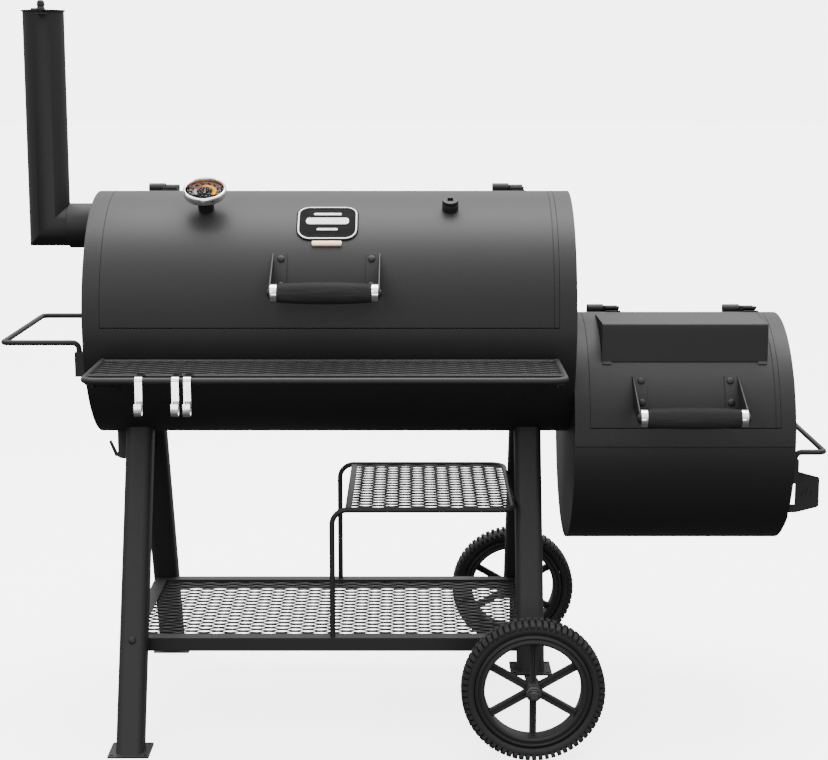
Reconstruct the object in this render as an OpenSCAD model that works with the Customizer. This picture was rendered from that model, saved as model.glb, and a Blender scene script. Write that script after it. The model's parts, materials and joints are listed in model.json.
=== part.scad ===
// Offset barrel smoker: a horizontal cooking barrel with a hinged lid, a lower firebox
// bolted to its right end, a smokestack on its left end, and a splayed-leg cart that
// stands on two feet and two wheels. Millimetres, +Z up, cooking side faces -Y.
// Lengths along X are written from the middle of the cooking barrel; placed() then moves
// the whole object so that the origin is the centre of its footprint.

/* [Cooking barrel] */
// Outside diameter of the cooking barrel
barrel_d = 456; // [420:1:480]
// Length of the cooking barrel over its end plates
barrel_len = 883; // [800:1:960]
// Height of the barrel's axis above the ground
barrel_z = 767; // [740:1:800]
// Thickness of the rolled sheet and of the end plates
sheet = 3; // [2:0.5:4]
// Barrel shown at each end of the lid
lid_margin = 33; // [25:1:50]
// How far the lid's handle and gauges sit from the barrel's middle
lid_trim_x = -6; // [-20:1:20]

/* [Firebox] */
// Outside diameter of the firebox
firebox_d = 432; // [400:1:440]
// Length of the firebox
firebox_len = 400; // [360:1:440]
// Height of the firebox's axis above the ground
firebox_z = 547.5; // [530:0.5:560]

/* [Smokestack] */
// Outside diameter of the smokestack
stack_d = 76; // [60:1:90]
// Height of the top of the stack above the ground
stack_top = 1326; // [1250:1:1400]
// Height of the elbow's axis above the ground
stack_elbow_z = 930; // [900:1:935]

/* [Cart] */
// Distance between the left and right pairs of legs
leg_spacing = 728; // [700:1:760]
// Width of a leg's tube
leg_w = 49.6; // [40:0.1:60]
// Half the distance between a front and a rear foot
foot_y = 294.5; // [270:0.5:320]
// Radius of a wheel over its tread
wheel_r = 128.8; // [110:0.1:140]
// Half the distance between the two wheels' middle planes
wheel_y = 324; // [316:1:330]

/* [Shelves] */
// Height of the front shelf's frame rod
front_shelf_z = 706; // [700:1:712]
// How far forward the front shelf's front rod lies
front_shelf_y = 431.4; // [400:0.1:440]
// Height of the top of the bottom shelf
low_shelf_z = 184.5; // [170:0.5:200]
// Height of the wood shelf's frame rod
wood_shelf_z = 425; // [400:1:440]

/* [Hidden] */
$fn = 96;

// Colours
paint = "#2c2c2e";
grip_black = "#2a2a2b";
chrome = "#e8e8ea";
rubber = "#1e1e1f";
iron = "#3a3836";
copper = "#b98558";

// Barrel
barrel_r = barrel_d / 2;
barrel_end = barrel_len / 2;
lid_half = barrel_end - lid_margin;
lid_gap = 1.5;
lid_back = 108;

// Lid hinges, firebox hinges: a fixed socket and a lift-off pin, side by side
hinge_y = 95;
hinge_z = barrel_z + 228;
hinge_x = 332;
hinge_bore_r = 4.05;
hinge_pin_r = 4;
fb_hinge_y = 80;
fb_hinge_z = firebox_z + 213.5;

// Firebox
firebox_r = firebox_d / 2;
firebox_x0 = barrel_end;
firebox_x1 = firebox_x0 + firebox_len;
firebox_mid = (firebox_x0 + firebox_x1) / 2;
fb_lid_margin = 29;
fb_lid_half = firebox_len / 2 - fb_lid_margin;
fb_lid_front = 9.3;
fb_lid_back = 106;

// Handles on the two lids
handle_half = 95.4;
grip_r = 19.3;
ferrule_r = 16.5;
ferrule_len = 11.6;
lid_grip_y = -285;
lid_grip_z = 836;
fb_grip_y = -290;
fb_grip_z = 615;

// Gauges on the lid
gauge_angle = 62;
gauge_reach = 222.8;
badge_angle = 52.4;
strip_angle = 39.3;

// Stack
stack_r = stack_d / 2;
stack_x = -536.6;
stack_wall = 2.5;
cap_r = 40.5;
cap_pivot_x = stack_x + 5.5;
cap_pivot_y = -(stack_r + 9);
knob_top = stack_top + 20;

// Side handles
rod_r = 5;
side_handle_y = 182;
left_bar_x = -593.8;
left_handle_z = 733.3;
right_bar_x = 902.2;
right_handle_z = 531;
left_stand = 14;
right_stand = 6.2;
left_socket = 21;
right_socket = 12;
left_drop = 61;
right_drop = 57;
socket_h = 44;

// Cart
leg_x = leg_spacing / 2;
leg_corner = 13;
leg_wall = 2.5;
leg_tilt = atan((foot_y - 53) / 610);
plate_t = 3;
plate_x = 75;
plate_y = 72;
plate_hole_x = 60;
plate_hole_y = 56;
plate_hole_r = 2.75;
axle_r = 8;
axle_end = 364;
wheel_x = 363;
tyre_w = 44;
rim_r = 105.6;
rim_inner_r = 86.5;
hub_r = 15.5;
hub_len = 52;
stub_plate_z = wheel_r + axle_r;

// Shelves
shelf_rod_r = 6;
inner_rod_y = 397;
inner_rod_r = 3;
inner_rod_rise = 2.5;
front_shelf_half = 405.5;
back_rod_y = 226.8;
back_rod_r = 5;
low_half_x = 383.5;
low_half_y = 204.6;
angle_leg = 25;
wood_x0 = 0;
wood_x1 = leg_x - leg_w / 2 - rod_r - 0.5;
wood_half_y = 193;
mesh_long = 48.6;
mesh_short = 21.2;
mesh_strand = 0.79;
mesh_t = 2.5;

// Hooks
hook_w = 12.5;
hook_t = 1.5;
hook_gap = 0.35;
hook_x = [-310.5, -249.1, -229.1];
hook_bottom = 657;
hook_curl = 7;

// Grease drain and grates
drain_x = -396.4;
drain_r = 25;
grate_z = 738;
grate_half_y = 205;
charcoal_z = 452;

// Firebox lid's hinges, handle flanges and heat shield
fb_hinge_x = [firebox_mid - 124, firebox_mid + 140.5];
fb_flange = [18.5, 35];
shield_half = 151;
shield_y = 160;
shield_back = 30;
shield_top = firebox_z + firebox_r + 1.5;
shield_bottom = 686.2;
shield_t = 2;

// Ash door
door_half_y = 140;
door_z0 = 378;
door_z1 = 500;
door_x = firebox_x1 + 0.4;
door_hinge_y = 152;
door_hinge_x = firebox_x1 + 9;
door_hinge_r = 6;
door_pin_r = 3;
knuckle_pitch = 34;
knuckle_h = 24;
damper_z = 437;
damper_r = 46;
pull_y = -150;

// Overall box, for the origin
mid_x = (right_bar_x + rod_r + left_bar_x - rod_r) / 2;
mid_y = (axle_end - front_shelf_y - shelf_rod_r - hook_gap - 2 * hook_t - 2 * hook_curl) / 2;

// ---------------------------------------------------------------- placing helpers

// Moves the object so that its origin is the centre of its footprint.
module placed() {
    translate([-mid_x, -mid_y, 0]) children();
}

// Local +Z becomes the outward normal of a drum at an angle above its front horizon.
module on_drum(x, z, r, angle) {
    translate([x, 0, z]) rotate([90 - angle, 0, 0]) translate([0, 0, r]) children();
}

// A solid of revolution whose axis lies along X instead of Z.
module along_x(x, y, z) {
    translate([x, y, z]) rotate([0, 90, 0]) children();
}

// Part of a rolled drum sheet: angles run from the front horizon up and over.
module drum_sheet(x0, x1, z, r_in, r_out, a0, a1) {
    along_x(0, 0, z) rotate([0, 0, 270 - a1]) rotate_extrude(angle = a1 - a0)
        translate([r_in, x0]) square([r_out - r_in, x1 - x0]);
}

// A full tube along X.
module drum_tube(x0, x1, z, r_in, r_out) {
    along_x(x0, 0, z) difference() {
        cylinder(r = r_out, h = x1 - x0);
        translate([0, 0, -1]) cylinder(r = r_in, h = x1 - x0 + 2);
    }
}

// A prism along X drawn from an outline in Y and Z.
module side_profile(x0, x1) {
    multmatrix([[0, 0, 1, x0], [1, 0, 0, 0], [0, 1, 0, 0], [0, 0, 0, 1]])
        linear_extrude(x1 - x0) children();
}

function unit(v) = v / norm(v);
function turn(u, v) = acos(max(-1, min(1, u * v)));

// A straight round rod between two points.
module rod(a, b, r) {
    w = unit(b - a);
    side = abs(w.z) < 0.9 ? unit(cross([0, 0, 1], w)) : unit(cross([1, 0, 0], w));
    up = cross(w, side);
    multmatrix([[side.x, up.x, w.x, a.x], [side.y, up.y, w.y, a.y], [side.z, up.z, w.z, a.z],
                [0, 0, 0, 1]])
        cylinder(r = r, h = norm(b - a));
}

// The round bend of a rod at a corner, from direction u to direction v.
module rod_bend(corner, u, v, r, bend) {
    t = turn(u, v);
    start = corner - u * bend * tan(t / 2);
    n = unit(v - u * (u * v));
    c = start + n * bend;
    w = cross(-n, u);
    multmatrix([[-n.x, u.x, w.x, c.x], [-n.y, u.y, w.y, c.y], [-n.z, u.z, w.z, c.z],
                [0, 0, 0, 1]])
        rotate_extrude(angle = t) translate([bend, 0]) circle(r = r, $fn = 32);
}

// A bent rod through a list of points, every corner with the same bend radius.
module bent_rod(p, r, bend) {
    last = len(p) - 1;
    dirs = [for (i = [0 : last - 1]) unit(p[i + 1] - p[i])];
    trim = [for (i = [0 : last])
        i == 0 || i == last ? 0 : bend * tan(turn(dirs[i - 1], dirs[i]) / 2)];
    for (i = [0 : last - 1])
        rod(p[i] + dirs[i] * trim[i], p[i + 1] - dirs[i] * trim[i + 1], r, $fn = 32);
    for (i = [1 : last - 1])
        rod_bend(p[i], dirs[i - 1], dirs[i], r, bend);
}

// Outline with rounded corners, kept exact by joining squares and circles.
module rounded(w, d, r) {
    square([w - 2 * r, d], center = true);
    square([w, d - 2 * r], center = true);
    for (x = [-1, 1], y = [-1, 1])
        translate([x * (w / 2 - r), y * (d / 2 - r)]) circle(r = r, $fn = 48);
}

// Expanded metal: a sheet with rows of staggered diamond openings inside a border.
module expanded_metal(w, d, border) {
    nx = floor((w / 2 - border) / (mesh_long / 2));
    ny = floor((d / 2 - border) / (mesh_short / 2));
    linear_extrude(mesh_t) difference() {
        square([w, d], center = true);
        for (i = [-nx + 1 : nx - 1], j = [-ny + 1 : ny - 1])
            if ((i + j) % 2 == 0)
                translate([i * mesh_long / 2, j * mesh_short / 2])
                    scale(mesh_strand) polygon([[-mesh_long / 2, 0], [0, -mesh_short / 2],
                                                [mesh_long / 2, 0], [0, mesh_short / 2]]);
    }
}

// A low domed screw head standing on a surface, local +Z outwards.
module screw_head(r, h) {
    rotate_extrude() intersection() {
        translate([0, h - (r * r + h * h) / (2 * h)]) circle(r = (r * r + h * h) / (2 * h));
        square([r, h]);
    }
}

// ---------------------------------------------------------------- cooking barrel

// The overlap of the barrel's and the firebox's ends, brought in by a margin.
module heat_lens(margin) {
    intersection() {
        translate([0, barrel_z]) circle(r = barrel_r - margin);
        translate([0, firebox_z]) circle(r = firebox_r - margin);
    }
}

module barrel_shell() {
    color(paint) placed() difference() {
        drum_tube(-barrel_end, barrel_end, barrel_z, barrel_r - sheet, barrel_r);
        drum_sheet(-lid_half - lid_gap, lid_half + lid_gap, barrel_z, barrel_r - 20,
                   barrel_r + 20, -0.4, lid_back + 0.6);
        translate([drain_x, 0, barrel_z - barrel_r - 20]) cylinder(r = drain_r - 3, h = 60);
    }
}

module barrel_end_left() {
    color(paint) placed() difference() {
        along_x(-barrel_end, 0, barrel_z) cylinder(r = barrel_r - sheet, h = sheet);
        along_x(-barrel_end - 1, 0, stack_elbow_z) cylinder(r = stack_r - stack_wall, h = sheet + 2);
    }
}

module barrel_end_right() {
    color(paint) placed() difference() {
        along_x(barrel_end - sheet, 0, barrel_z) cylinder(r = barrel_r - sheet, h = sheet);
        side_profile(barrel_end - sheet - 1, barrel_end + 1) heat_lens(26);
    }
}

module lid_shell() {
    color(paint) placed() difference() {
        drum_sheet(-lid_half, lid_half, barrel_z, barrel_r - sheet, barrel_r, 0, lid_back);
        for (x = [-1, 1])
            on_drum(lid_trim_x + x * gauge_reach, barrel_z, barrel_r - 20, gauge_angle)
                cylinder(r = 8.2, h = 40);
    }
}

// Fixed halves of a pair of lift-off hinges: a bored socket on a saddle block.
module hinge_sockets(xs, y, z, drum_z, drum_r) {
    lean = atan2(y, z - drum_z);
    for (x = xs) {
        difference() {
            union() {
                along_x(x - 29.5, y, z) cylinder(r = 9, h = 32);
                translate([x - 28.5, 0, drum_z]) rotate([-lean, 0, 0])
                    translate([0, -6, drum_r + 0.4]) cube([30, 12, norm([y, z - drum_z]) - drum_r]);
            }
            along_x(x - 31, y, z) cylinder(r = hinge_bore_r, h = 36);
        }
        drum_sheet(x - 29.5, x + 2.5, drum_z, drum_r, drum_r + 2.5, 90 + lean - 2.2, 90 + lean + 13);
    }
}

// Moving halves: a pin in a knuckle, with a strap that runs forward onto the lid.
module hinge_pins(xs, y, z, drum_z, drum_r) {
    lean = atan2(y, z - drum_z);
    for (x = xs) {
        along_x(x - 28, y, z) cylinder(r = hinge_pin_r, h = 40);
        along_x(x + 3, y, z) cylinder(r = 6.5, h = 26);
        translate([x + 3, 0, drum_z]) rotate([-lean, 0, 0]) difference() {
            translate([0, -44, drum_r + 2.6]) cube([26, 44, norm([y, z - drum_z]) - drum_r - 1]);
            translate([-1, -60, norm([y, z - drum_z]) + 3.4]) cube([28, 80, 20]);
            translate([-1, -46, drum_r + 6]) rotate([14, 0, 0]) cube([28, 40, 40]);
        }
        drum_sheet(x + 3, x + 29, drum_z, drum_r, drum_r + 2.5, 90 + lean - 16, 90 + lean - 5.2);
    }
}

module lid_hinge_sockets() {
    color(paint) placed() hinge_sockets([-hinge_x, hinge_x], hinge_y, hinge_z, barrel_z, barrel_r);
}

module lid_hinge_pins() {
    color(paint) placed() hinge_pins([-hinge_x, hinge_x], hinge_y, hinge_z, barrel_z, barrel_r);
}

// Two bent brackets: a side plate that carries the grip and a flange screwed to the lid.
module handle_plates(x, gy, gz, drum_z, drum_r, a0, a1) {
    for (s = [-1, 1]) {
        inner = x + s * handle_half;
        side_profile(inner - 1.25, inner + 1.25) difference() {
            union() {
                polygon([[gy, gz - 11], [-drum_r * cos(a0), drum_z + drum_r * sin(a0)],
                         [-(drum_r - 9) * cos(a1), drum_z + (drum_r - 9) * sin(a1)],
                         [-(drum_r + 2) * cos(a1), drum_z + (drum_r + 2) * sin(a1)],
                         [gy - 4, gz + 10]]);
                translate([gy, gz]) circle(r = 11);
            }
            translate([0, drum_z]) circle(r = drum_r);
            translate([gy, gz]) circle(r = 4);
        }
        drum_sheet(min(inner, inner - s * 25), max(inner, inner - s * 25), drum_z, drum_r,
                   drum_r + 2.5, a0, a1);
    }
}

// The long barrel-shaped grip between its two ferrules.
module grip(x, gy, gz) {
    half = handle_half - 1.25 - ferrule_len;
    along_x(x, gy, gz) rotate_extrude() polygon(concat(
        [[4, -half]],
        [for (i = [-8 : 8]) [grip_r - 2.9 * pow(i / 8, 2), half * i / 8]],
        [[4, half]]));
}

// Bright ferrules that close the grip's ends.
module ferrules(x, gy, gz) {
    for (s = [-1, 1])
        along_x(x + s * (handle_half - 1.25 - ferrule_len / 2), gy, gz) difference() {
            cylinder(r = ferrule_r, h = ferrule_len, center = true);
            cylinder(r = 4, h = ferrule_len + 1, center = true);
        }
}

// Flange screws, and the bolt that runs through the grip from bracket to bracket.
module handle_screws(x, gy, gz, drum_z, drum_r, a0, a1) {
    for (s = [-1, 1], a = [a0 + 2.8, a1 - 2.8])
        on_drum(x + s * (handle_half - 14.5), drum_z, drum_r + 2.52, a) screw_head(6.75, 3.6);
    along_x(x - handle_half - 2, gy, gz) cylinder(r = 4, h = 2 * handle_half + 4);
    for (s = [-1, 1])
        translate([x + s * (handle_half + 1.25), gy, gz]) rotate([0, s * 90, 0]) screw_head(7, 4);
}

module lid_handle_brackets() {
    color(paint) placed()
        handle_plates(lid_trim_x, lid_grip_y, lid_grip_z, barrel_z, barrel_r, 16, 34.2);
}

module lid_handle_grip() {
    color(grip_black) placed() grip(lid_trim_x, lid_grip_y, lid_grip_z);
}

module lid_handle_ferrules() {
    color(chrome) placed() ferrules(lid_trim_x, lid_grip_y, lid_grip_z);
}

module lid_handle_screws() {
    color(paint) placed()
        handle_screws(lid_trim_x, lid_grip_y, lid_grip_z, barrel_z, barrel_r, 16, 34.2);
}

// A plain rounded plaque bent to the lid.
module badge_plate() {
    color("#1a1a1b") placed() intersection() {
        drum_sheet(-120, 120, barrel_z, barrel_r, barrel_r + 2.5, 20, 90);
        on_drum(lid_trim_x, barrel_z, barrel_r - 30, badge_angle)
            linear_extrude(60) rounded(112, 89, 24);
    }
}

module badge_strip() {
    color(copper) placed() intersection() {
        drum_sheet(-120, 120, barrel_z, barrel_r, barrel_r + 5, 20, 90);
        on_drum(lid_trim_x, barrel_z, barrel_r - 30, strip_angle)
            linear_extrude(60) rounded(58, 11, 2);
    }
}

// ---------------------------------------------------------------- gauges

// Seats a gauge on the lid at a side offset, local +Z outwards from the sheet.
module on_lid(side) {
    on_drum(lid_trim_x + side * gauge_reach, barrel_z, barrel_r, gauge_angle) children();
}

module thermometer_case() {
    color(chrome) placed() on_lid(-1) {
        rotate_extrude() polygon([[2.6, -45], [3.6, -45], [3.6, -12], [8, -12], [8, 0.4],
            [14.5, 0.4], [14.5, 23.5], [20, 29.5], [35, 29.5], [39.5, 33.5], [39.5, 44.5],
            [37, 46], [34.5, 44.5], [34.5, 37.5], [2.6, 37.5]]);
    }
}

module thermometer_dial() {
    color("#141414") placed() on_lid(-1) translate([0, 0, 37.5]) difference() {
        cylinder(r = 34.4, h = 2);
        translate([0, 0, -1]) cylinder(r = 1.55, h = 4);
    }
}

module thermometer_needle() {
    color("#d8d8d4") placed() on_lid(-1) translate([0, 0, 39.9]) {
        cylinder(r = 3.5, h = 1.2);
        translate([0, 0, -2.3]) cylinder(r = 1.5, h = 2.4);
        linear_extrude(0.7) polygon([[-1.8, -8], [1.8, -8], [0.5, 25], [-0.5, 25]]);
    }
}

module thermometer_glass() {
    color("#cfd6d8") placed() on_lid(-1) translate([0, 0, 42.5]) cylinder(r = 34.4, h = 1.5);
}

// A low threaded coupling with a square-socket plug screwed into its mouth.
module probe_port() {
    color(paint) placed() on_lid(1) {
        difference() {
            union() {
                cylinder(r = 15, h = 13);
                translate([0, 0, -12]) cylinder(r = 8, h = 13);
            }
            translate([0, 0, -13]) cylinder(r = 5, h = 20);
            translate([0, 0, 3]) cylinder(r = 11.6, h = 11);
        }
        difference() {
            translate([0, 0, 3]) cylinder(r = 11.5, h = 17);
            translate([-4.5, -4.5, 13]) cube([9, 9, 8]);
        }
    }
}

// ---------------------------------------------------------------- smokestack

module stack_collar() {
    color(paint) placed()
        drum_tube(-barrel_end - 57, -barrel_end, stack_elbow_z, stack_r + 0.1, stack_r + 4);
}

// The outer or inner form of the stack: a riser and a stub meeting at a 45 degree mitre.
module stack_form(r, extra) {
    intersection() {
        translate([stack_x, 0, stack_elbow_z - 200])
            cylinder(r = r, h = stack_top - stack_elbow_z + 200 + extra);
        translate([stack_x, 0, stack_elbow_z]) rotate([0, -45, 0]) translate([-300, -300, 0])
            cube([1200, 600, 900]);
    }
    intersection() {
        along_x(stack_x - 200, 0, stack_elbow_z) cylinder(r = r, h = 200 - stack_x - barrel_end + extra);
        translate([stack_x, 0, stack_elbow_z]) rotate([0, -45, 0]) translate([-300, -300, -900])
            cube([1200, 600, 900]);
    }
}

module smokestack() {
    color(paint) placed() {
        difference() {
            stack_form(stack_r, 0);
            stack_form(stack_r - stack_wall, 2);
        }
        difference() {
            translate([cap_pivot_x - 9, cap_pivot_y - 9, stack_top - 6]) cube([18, 18, 3]);
            translate([cap_pivot_x, cap_pivot_y, stack_top - 10]) cylinder(r = 4, h = 12);
            translate([stack_x, 0, stack_top - 20]) cylinder(r = stack_r - 0.5, h = 30);
        }
    }
}

// The sliding cap: a disc with an ear that turns on its bolt, and a folded finger tab.
module stack_cap() {
    color(paint) placed() difference() {
        union() {
            translate([stack_x, 0, stack_top + 0.4]) cylinder(r = cap_r, h = 2.5);
            translate([cap_pivot_x - 10, cap_pivot_y, stack_top + 0.4]) cube([20, 20, 2.5]);
            translate([cap_pivot_x, cap_pivot_y, stack_top + 0.4]) cylinder(r = 10, h = 2.5);
            translate([stack_x - 20, -14, stack_top + 2.9]) cube([15, 2.5, 3]);
        }
        translate([cap_pivot_x, cap_pivot_y, stack_top - 1]) cylinder(r = 4.05, h = 6);
    }
}

// The pivot bolt with its spring washer and dome nut.
module stack_cap_bolt() {
    color(paint) placed() translate([cap_pivot_x, cap_pivot_y, 0]) {
        translate([0, 0, stack_top - 12]) cylinder(r = 7, h = 6, $fn = 6);
        translate([0, 0, stack_top - 7]) cylinder(r = 4, h = 24);
        translate([0, 0, stack_top + 3.4]) rotate_extrude()
            polygon([[3.5, 0], [8, 0], [6.5, 5.5], [3.5, 5.5]]);
        translate([0, 0, stack_top + 8.9]) cylinder(r = 5.6, h = 5.6, $fn = 6);
        translate([0, 0, stack_top + 14.5]) screw_head(5.2, knob_top - stack_top - 14.5);
    }
}

// ---------------------------------------------------------------- side handles

// The route of a side handle: from one socket up, out, across and back down.
function side_handle_path(end, bar, z, drop) = [
    [end, -side_handle_y, z - drop + 9], [end, -side_handle_y, z], [bar, -side_handle_y, z],
    [bar, side_handle_y, z], [end, side_handle_y, z], [end, side_handle_y, z - drop + 9]];

module side_handles() {
    color(paint) placed() {
        bent_rod(side_handle_path(-barrel_end - left_stand, left_bar_x, left_handle_z, left_drop),
                 rod_r, 12);
        bent_rod(side_handle_path(firebox_x1 + right_stand, right_bar_x, right_handle_z, right_drop),
                 rod_r, 12);
    }
}

// A socket bracket that holds the foot of a handle rod against an end plate.
module handle_socket(x, s, z0, stand, depth) {
    for (y = [-side_handle_y, side_handle_y])
        translate([x, y, z0]) difference() {
            translate([s > 0 ? 0 : -depth, -10, 0]) cube([depth, 20, socket_h]);
            translate([s * stand, 0, 9]) cylinder(r = rod_r, h = socket_h);
        }
}

module handle_brackets() {
    color(paint) placed() {
        handle_socket(-barrel_end, -1, left_handle_z - left_drop, left_stand, left_socket);
        handle_socket(firebox_x1, 1, right_handle_z - right_drop, right_stand, right_socket);
    }
}

// ---------------------------------------------------------------- front shelf

module front_shelf_frame() {
    color(paint) placed() {
        bent_rod([[-front_shelf_half, -back_rod_y, front_shelf_z],
                  [-front_shelf_half, -front_shelf_y, front_shelf_z],
                  [front_shelf_half, -front_shelf_y, front_shelf_z],
                  [front_shelf_half, -back_rod_y, front_shelf_z]], shelf_rod_r, 22);
        rod([-front_shelf_half + 2, -back_rod_y - back_rod_r - 1, front_shelf_z],
            [front_shelf_half - 2, -back_rod_y - back_rod_r - 1, front_shelf_z], back_rod_r);
        rod([-front_shelf_half + 1, -inner_rod_y, front_shelf_z + inner_rod_rise],
            [front_shelf_half - 1, -inner_rod_y, front_shelf_z + inner_rod_rise], inner_rod_r);
    }
}

module front_shelf_mesh() {
    y0 = inner_rod_y - inner_rod_r - 0.2;
    y1 = back_rod_y + 2 * back_rod_r + 1.2;
    color(paint) placed() translate([0, -(y0 + y1) / 2, front_shelf_z + 0.4])
        expanded_metal(2 * (front_shelf_half - shelf_rod_r - 0.2), y0 - y1, 4);
}

// An arm under each end of the shelf with a foot curved to the barrel.
module front_shelf_brackets() {
    color(paint) placed() for (s = [-1, 1]) {
        x = s * (front_shelf_half - 12.7);
        drum_sheet(x - 10.5, x + 10.5, barrel_z, barrel_r, barrel_r + 3, -31, -19);
        side_profile(x - 1.5, x + 1.5) difference() {
            polygon([[-front_shelf_y + 20, front_shelf_z - shelf_rod_r - 3],
                     [-front_shelf_y + 20, front_shelf_z - shelf_rod_r - 9],
                     [-190, front_shelf_z - 58], [-190, front_shelf_z - shelf_rod_r - 3]]);
            translate([0, barrel_z]) circle(r = barrel_r + 2.9);
        }
        translate([x - 10.5, -front_shelf_y + 14, front_shelf_z - shelf_rod_r - 3.1])
            cube([21, front_shelf_y - 14 - barrel_r - 12, 3]);
    }
}

// A flat strip hook that rests on the front rod and the inner rod, with a curled end.
module tool_hook(x) {
    top = front_shelf_z + shelf_rod_r + hook_gap;
    r0 = shelf_rod_r + hook_gap;
    face = -front_shelf_y - r0;
    side_profile(x - hook_w / 2, x + hook_w / 2) {
        translate([-front_shelf_y, top]) square([front_shelf_y - inner_rod_y, hook_t]);
        translate([-front_shelf_y, front_shelf_z]) intersection() {
            difference() {
                circle(r = r0 + hook_t);
                circle(r = r0);
            }
            translate([-20, 0]) square([20, 20]);
        }
        translate([face - hook_t, hook_bottom]) square([hook_t, front_shelf_z - hook_bottom]);
        translate([face - hook_t - hook_curl, hook_bottom]) intersection() {
            difference() {
                circle(r = hook_curl + hook_t);
                circle(r = hook_curl);
            }
            translate([-20, -20]) square([40, 20]);
        }
        translate([face - 2 * hook_t - 2 * hook_curl, hook_bottom]) square([hook_t, 14]);
        translate([-inner_rod_y, front_shelf_z + 3]) intersection() {
            difference() {
                circle(r = inner_rod_r + hook_gap + hook_t);
                circle(r = inner_rod_r + hook_gap);
            }
            square([20, 20]);
        }
    }
}

module tool_hook_1() {
    color(chrome) placed() tool_hook(hook_x[0]);
}

module tool_hook_2() {
    color(chrome) placed() tool_hook(hook_x[1]);
}

module tool_hook_3() {
    color(chrome) placed() tool_hook(hook_x[2]);
}

// ---------------------------------------------------------------- cart

// One splayed tube leg as a solid, grown by a clearance and trimmed at a floor height.
module leg_form(x, side, grow) {
    translate([x, side * foot_y, 0]) rotate([side * leg_tilt, 0, 0]) translate([0, 0, -40])
        linear_extrude(740) rounded(leg_w + 2 * grow, leg_w + 2 * grow, leg_corner + grow);
}

// One leg: a rounded square tube cut to the ground plate and to the barrel.
module leg(x, side, floor_z) {
    intersection() {
        difference() {
            leg_form(x, side, 0);
            leg_form(x, side, -leg_wall);
            along_x(-barrel_end - 1, 0, barrel_z) cylinder(r = barrel_r, h = barrel_len + 2);
        }
        translate([x - 60, -500, floor_z]) cube([120, 1000, 600 - floor_z]);
    }
}

module legs() {
    color(paint) placed() for (side = [-1, 1]) {
        leg(-leg_x, side, plate_t);
        leg(leg_x, side, stub_plate_z + plate_t);
    }
}

// The Y place of a leg's axis at a height.
function leg_y(z) = foot_y - z * tan(leg_tilt);

// A square plate with a hole near each corner.
module foot_plate(x, y, z) {
    translate([x, y, z]) linear_extrude(plate_t) difference() {
        rounded(plate_x, plate_y, 3);
        for (hx = [-1, 1], hy = [-1, 1])
            translate([hx * plate_hole_x / 2, hy * plate_hole_y / 2]) circle(r = plate_hole_r);
    }
}

module foot_plates() {
    color(paint) placed() for (side = [-1, 1]) {
        foot_plate(-leg_x, side * foot_y, 0);
        foot_plate(leg_x, side * leg_y(stub_plate_z), stub_plate_z);
    }
}

// Domed bolt heads: low on the outward faces of the legs and high on the inward ones.
module frame_bolts() {
    color(paint) placed() for (x = [-leg_x, leg_x], side = [-1, 1], bolt = [[184, 1], [505, -1]])
        translate([x, side * leg_y(bolt[0]), bolt[0]]) rotate([side * leg_tilt, 0, 0])
            rotate([-side * bolt[1] * 90, 0, 0]) translate([0, 0, leg_w / 2]) screw_head(7, 4);
}

module low_shelf_frame() {
    color(paint) placed() difference() {
        translate([-low_half_x, -low_half_y, low_shelf_z - angle_leg])
            cube([2 * low_half_x, 2 * low_half_y, angle_leg]);
        translate([-low_half_x + sheet, -low_half_y + sheet, low_shelf_z - angle_leg - 1])
            cube([2 * low_half_x - 2 * sheet, 2 * low_half_y - 2 * sheet, angle_leg - sheet + 1]);
        translate([-low_half_x + angle_leg, -low_half_y + angle_leg, low_shelf_z - angle_leg - 1])
            cube([2 * low_half_x - 2 * angle_leg, 2 * low_half_y - 2 * angle_leg, angle_leg + 2]);
        for (x = [-leg_x, leg_x], side = [-1, 1]) leg_form(x, side, 0.1);
    }
}

module low_shelf_mesh() {
    color(paint) placed() translate([0, 0, low_shelf_z - sheet - mesh_t])
        expanded_metal(2 * (low_half_x - sheet - 0.2), 2 * (leg_y(low_shelf_z) - leg_w / 2 - 4), 6);
}

// One bent rod: two posts, two long rails and a cross rail beside the right legs.
module wood_shelf_frame() {
    color(paint) placed() {
        bent_rod([[wood_x0, -wood_half_y, low_shelf_z], [wood_x0, -wood_half_y, wood_shelf_z],
                  [wood_x1, -wood_half_y, wood_shelf_z], [wood_x1, wood_half_y, wood_shelf_z],
                  [wood_x0, wood_half_y, wood_shelf_z], [wood_x0, wood_half_y, low_shelf_z]],
                 rod_r, 28);
        translate([wood_x0 + 24, -wood_half_y, wood_shelf_z - 1.5]) cube([12, 2 * wood_half_y, 3]);
    }
}

module wood_shelf_mesh() {
    x0 = wood_x0 + 36.2;
    x1 = wood_x1 - rod_r - 0.2;
    color(paint) placed() translate([(x0 + x1) / 2, 0, wood_shelf_z - 1]) difference() {
        expanded_metal(x1 - x0, 2 * (wood_half_y - rod_r - 0.2), 5);
        for (side = [-1, 1])
            translate([(x1 - x0) / 2, side * (wood_half_y - rod_r), -1]) rotate(45)
                translate([-16.5, -16.5, 0]) cube([33, 33, 6]);
    }
}

module axle() {
    color(iron) placed() translate([wheel_x, 0, wheel_r]) rotate([90, 0, 0])
        cylinder(r = axle_r, h = 2 * axle_end, center = true);
}

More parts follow.
